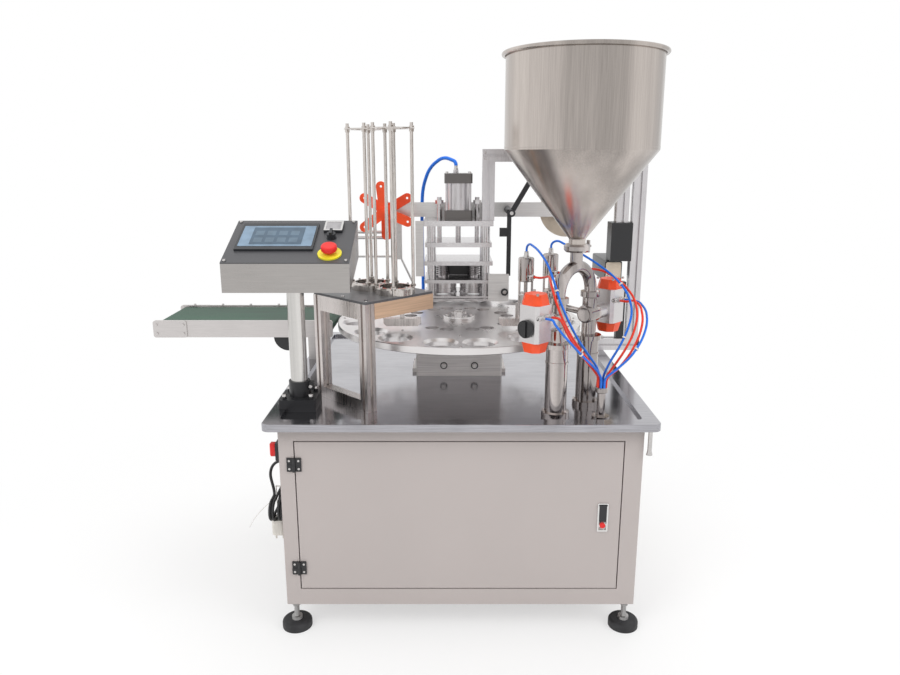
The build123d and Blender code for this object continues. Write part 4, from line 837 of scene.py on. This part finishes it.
def press_details():
    """Springs over the sealing heads, the heater block, screws, and dark skins for the cylinder's caps."""
    springs = bmesh.new()
    turns, corners, height = 6, 18, 44
    steps = turns * corners
    for x in (-53.5, 53.5):
        points = []
        for n in range(steps + 1):
            a = 2 * math.pi * n / corners
            points.append(place(x + 20 * math.cos(a), 303.3 + 20 * math.sin(a), 846.5 + height * n / steps))
        sweep(springs, points, 2.3 * MM, 8)
    piece("head_springs", springs, "press_head", "press_steel")
    heater = bmesh.new()
    slab(heater, place(-76, 332, 846), RIGHT, BACK, UP, 152 * MM, 34 * MM, 44 * MM, 3 * MM)
    piece("heater_block", heater, "press_head", "black_fittings")
    bm = bmesh.new()
    for x in (-94, 94):
        cap_screw(bm, place(x, 308, 969), UP, 5)
    piece("press_screws", bm, "press_head", "plated_steel")
    bm = bmesh.new()
    for x in (-38, 38):
        for y in (270, 346):
            cap_screw(bm, place(x, y, 1191), UP, 5)
    piece("press_top_nuts", bm, "machine_base", "plated_steel")
    bm = bmesh.new()
    for low, high in ((1040.2, 1071.4), (1159.6, 1191.3)):
        corner = place(-46.5, 308 - 46.5, low)
        slab(bm, corner, RIGHT, BACK, UP, 93 * MM, 93 * MM, (high - low) * MM, 5 * MM)
    caps = metal("cylinder_cap_grey", (0.16, 0.15, 0.145), 0.34, (300, 300, 300), 0.08)
    piece("cylinder_caps", bm, "machine_base", "cylinder_aluminium", caps)


def frame_details():
    """The belt rail's and the frame's screws, rings round the housing's bolts, and the rewind's cover."""
    bm = bmesh.new()
    for x in (-850, -760, -670, -580):
        cap_screw(bm, place(x, 114, 780), UP, 4)
    piece("rail_screws", bm, "machine_base", "plated_steel")
    bm = bmesh.new()
    for x in (-47, 47):
        lathe(bm, place(x, -48, 624), -BACK, [(8.2, 0), (11, 0), (11, 1.5), (8.2, 1.5)], 28)
    piece("housing_bolt_rings", bm, "machine_base", "black_fittings")
    bm = bmesh.new()
    slab(bm, place(493, 228.8, 838), RIGHT, UP, -BACK, 51 * MM, 65 * MM, 1.5 * MM, 4 * MM)
    piece("rewind_cover", bm, "machine_base", "reel_beige")
    bm = bmesh.new()
    for x in (86, 592):
        for z in (1240, 1258):
            cap_screw(bm, place(x, 229, z), -BACK, 4)
    for x in (496, 600):
        cap_screw(bm, place(x, 249, 640), UP, 5)
    piece("frame_screws", bm, "machine_base", "plated_steel")


def fitting(bm, spot, axis):
    """A push-in air fitting: a hexagon, a barrel and its release ring."""
    lathe(bm, spot, axis, [(4.2, 0), (8, 0), (8, 5), (7, 6), (4.2, 6)], 6)
    lathe(bm, spot, axis, [(6.3, 6), (6.3, 13), (5.4, 14), (5.8, 14.5), (5.8, 16.5), (3.6, 17)], 20)


def filler_details():
    """Air fittings, hose ties, the hopper's welds, and the nuts, rings and screws round the cylinders."""
    bm = bmesh.new()
    for x in (-173, -149, 149, 173):
        fitting(bm, on_filler(x, -31, 870), -INWARD)
    for x in (-11.5, 95.5):
        fitting(bm, on_filler(x, 153.7, 983), UP)
        fitting(bm, on_filler(x, 153.7 - 21, 933), -INWARD)
    fitting(bm, place(-8, 308, 1203), UP)
    piece("air_fittings", bm, "machine_base", "plated_steel")
    ties = bmesh.new()
    runs = [
        ((306, -484, 762), (274, -500, 796)), ((424, -442, 758), (454, -424, 796)),
        ((308, -466, 764), (279, -478, 802)), ((240, -456, 902), (228, -422, 948)),
        ((434, -334, 902), (404, -296, 940)), ((406, -402, 778), (426, -390, 818)),
    ]
    for start, end in runs:
        low = place(*start)
        way = place(*end) - low
        ring = [(4.3, -2), (5.6, -2), (5.6, 2), (4.3, 2)]
        lathe(ties, low + way / 2, way.normalized(), ring, 16)
    piece("hose_ties", ties, "machine_base", "plug_white")
    weld = bmesh.new()
    lathe(weld, on_filler(0, 0, 1267), UP, [(187.8, -1.6), (188.35, -0.8), (188.35, 0.8), (187.8, 1.6)], 96)
    lathe(weld, on_filler(0, 0, 1044), UP, [(20.8, -1.5), (21.6, 0), (21.2, 1.6)], 40)
    piece("hopper_welds", weld, "machine_base", "hopper_steel")
    bolts = bmesh.new()
    for x in (-68, 68):
        for turn in range(3):
            a = math.radians(30 + 120 * turn)
            hex_nut(bolts, on_filler(x + 32 * math.cos(a), 32 * math.sin(a), 603), UP, 5, 4, a)
        lathe(bolts, on_filler(x, 0, 735), UP, [(28.1, -3), (29.6, -2.4), (29.6, 2.4), (28.1, 3)], 40)
    for x in (-161, 161):
        for u in (-24, 24):
            for v in (-24, 24):
                cap_screw(bolts, on_filler(x + u, v, 925), UP, 3.5)
    piece("filler_bolts", bolts, "machine_base", "product_steel")


def turntable_details():
    """Two screws on each of the disc's eight spokes, and the hub's centre cap."""
    bm = bmesh.new()
    for n in range(8):
        a = math.radians(45 * n)
        for r in (232, 352):
            cap_screw(bm, place(r * math.cos(a), r * math.sin(a), 759), UP, 4)
    lathe(bm, place(0, 0, 783), UP, [(12, 0), (12, 4), (10.5, 5.5), (0, 6)], 32)
    piece("turntable_screws", bm, "indexing_table", "plated_steel")


def roller_ends():
    """The film rollers' black end rings, with their bright pins."""
    ends = (("film_roller_upper", 173, 212.6, 1066), ("film_roller_lower", 154, 209.6, 806))
    ring_profile = [(6.8, 0), (12, 0), (12, 8), (11, 9.5), (7.6, 9.5), (6.8, 8.5), (6.8, 0)]
    pin_profile = [(0, 0), (6.4, 0), (6.4, 9.2), (5.4, 10.2), (0, 10.2)]
    for body, x, y, z in ends:
        ring = bmesh.new()
        lathe(ring, place(x, y, z), -BACK, ring_profile, 32)
        piece(f"{body}_ring", ring, body, "roller_black")
        pin = bmesh.new()
        lathe(pin, place(x, y, z), -BACK, pin_profile, 28)
        piece(f"{body}_pin", pin, body, "roller_black", looks["plated_steel"])


power_cord()
roller_ends()
hinge_screws()
panel_details()
stand_screws()
dispenser_screws()
dispenser_reflection_panel()
press_details()
frame_details()
filler_details()
turntable_details()
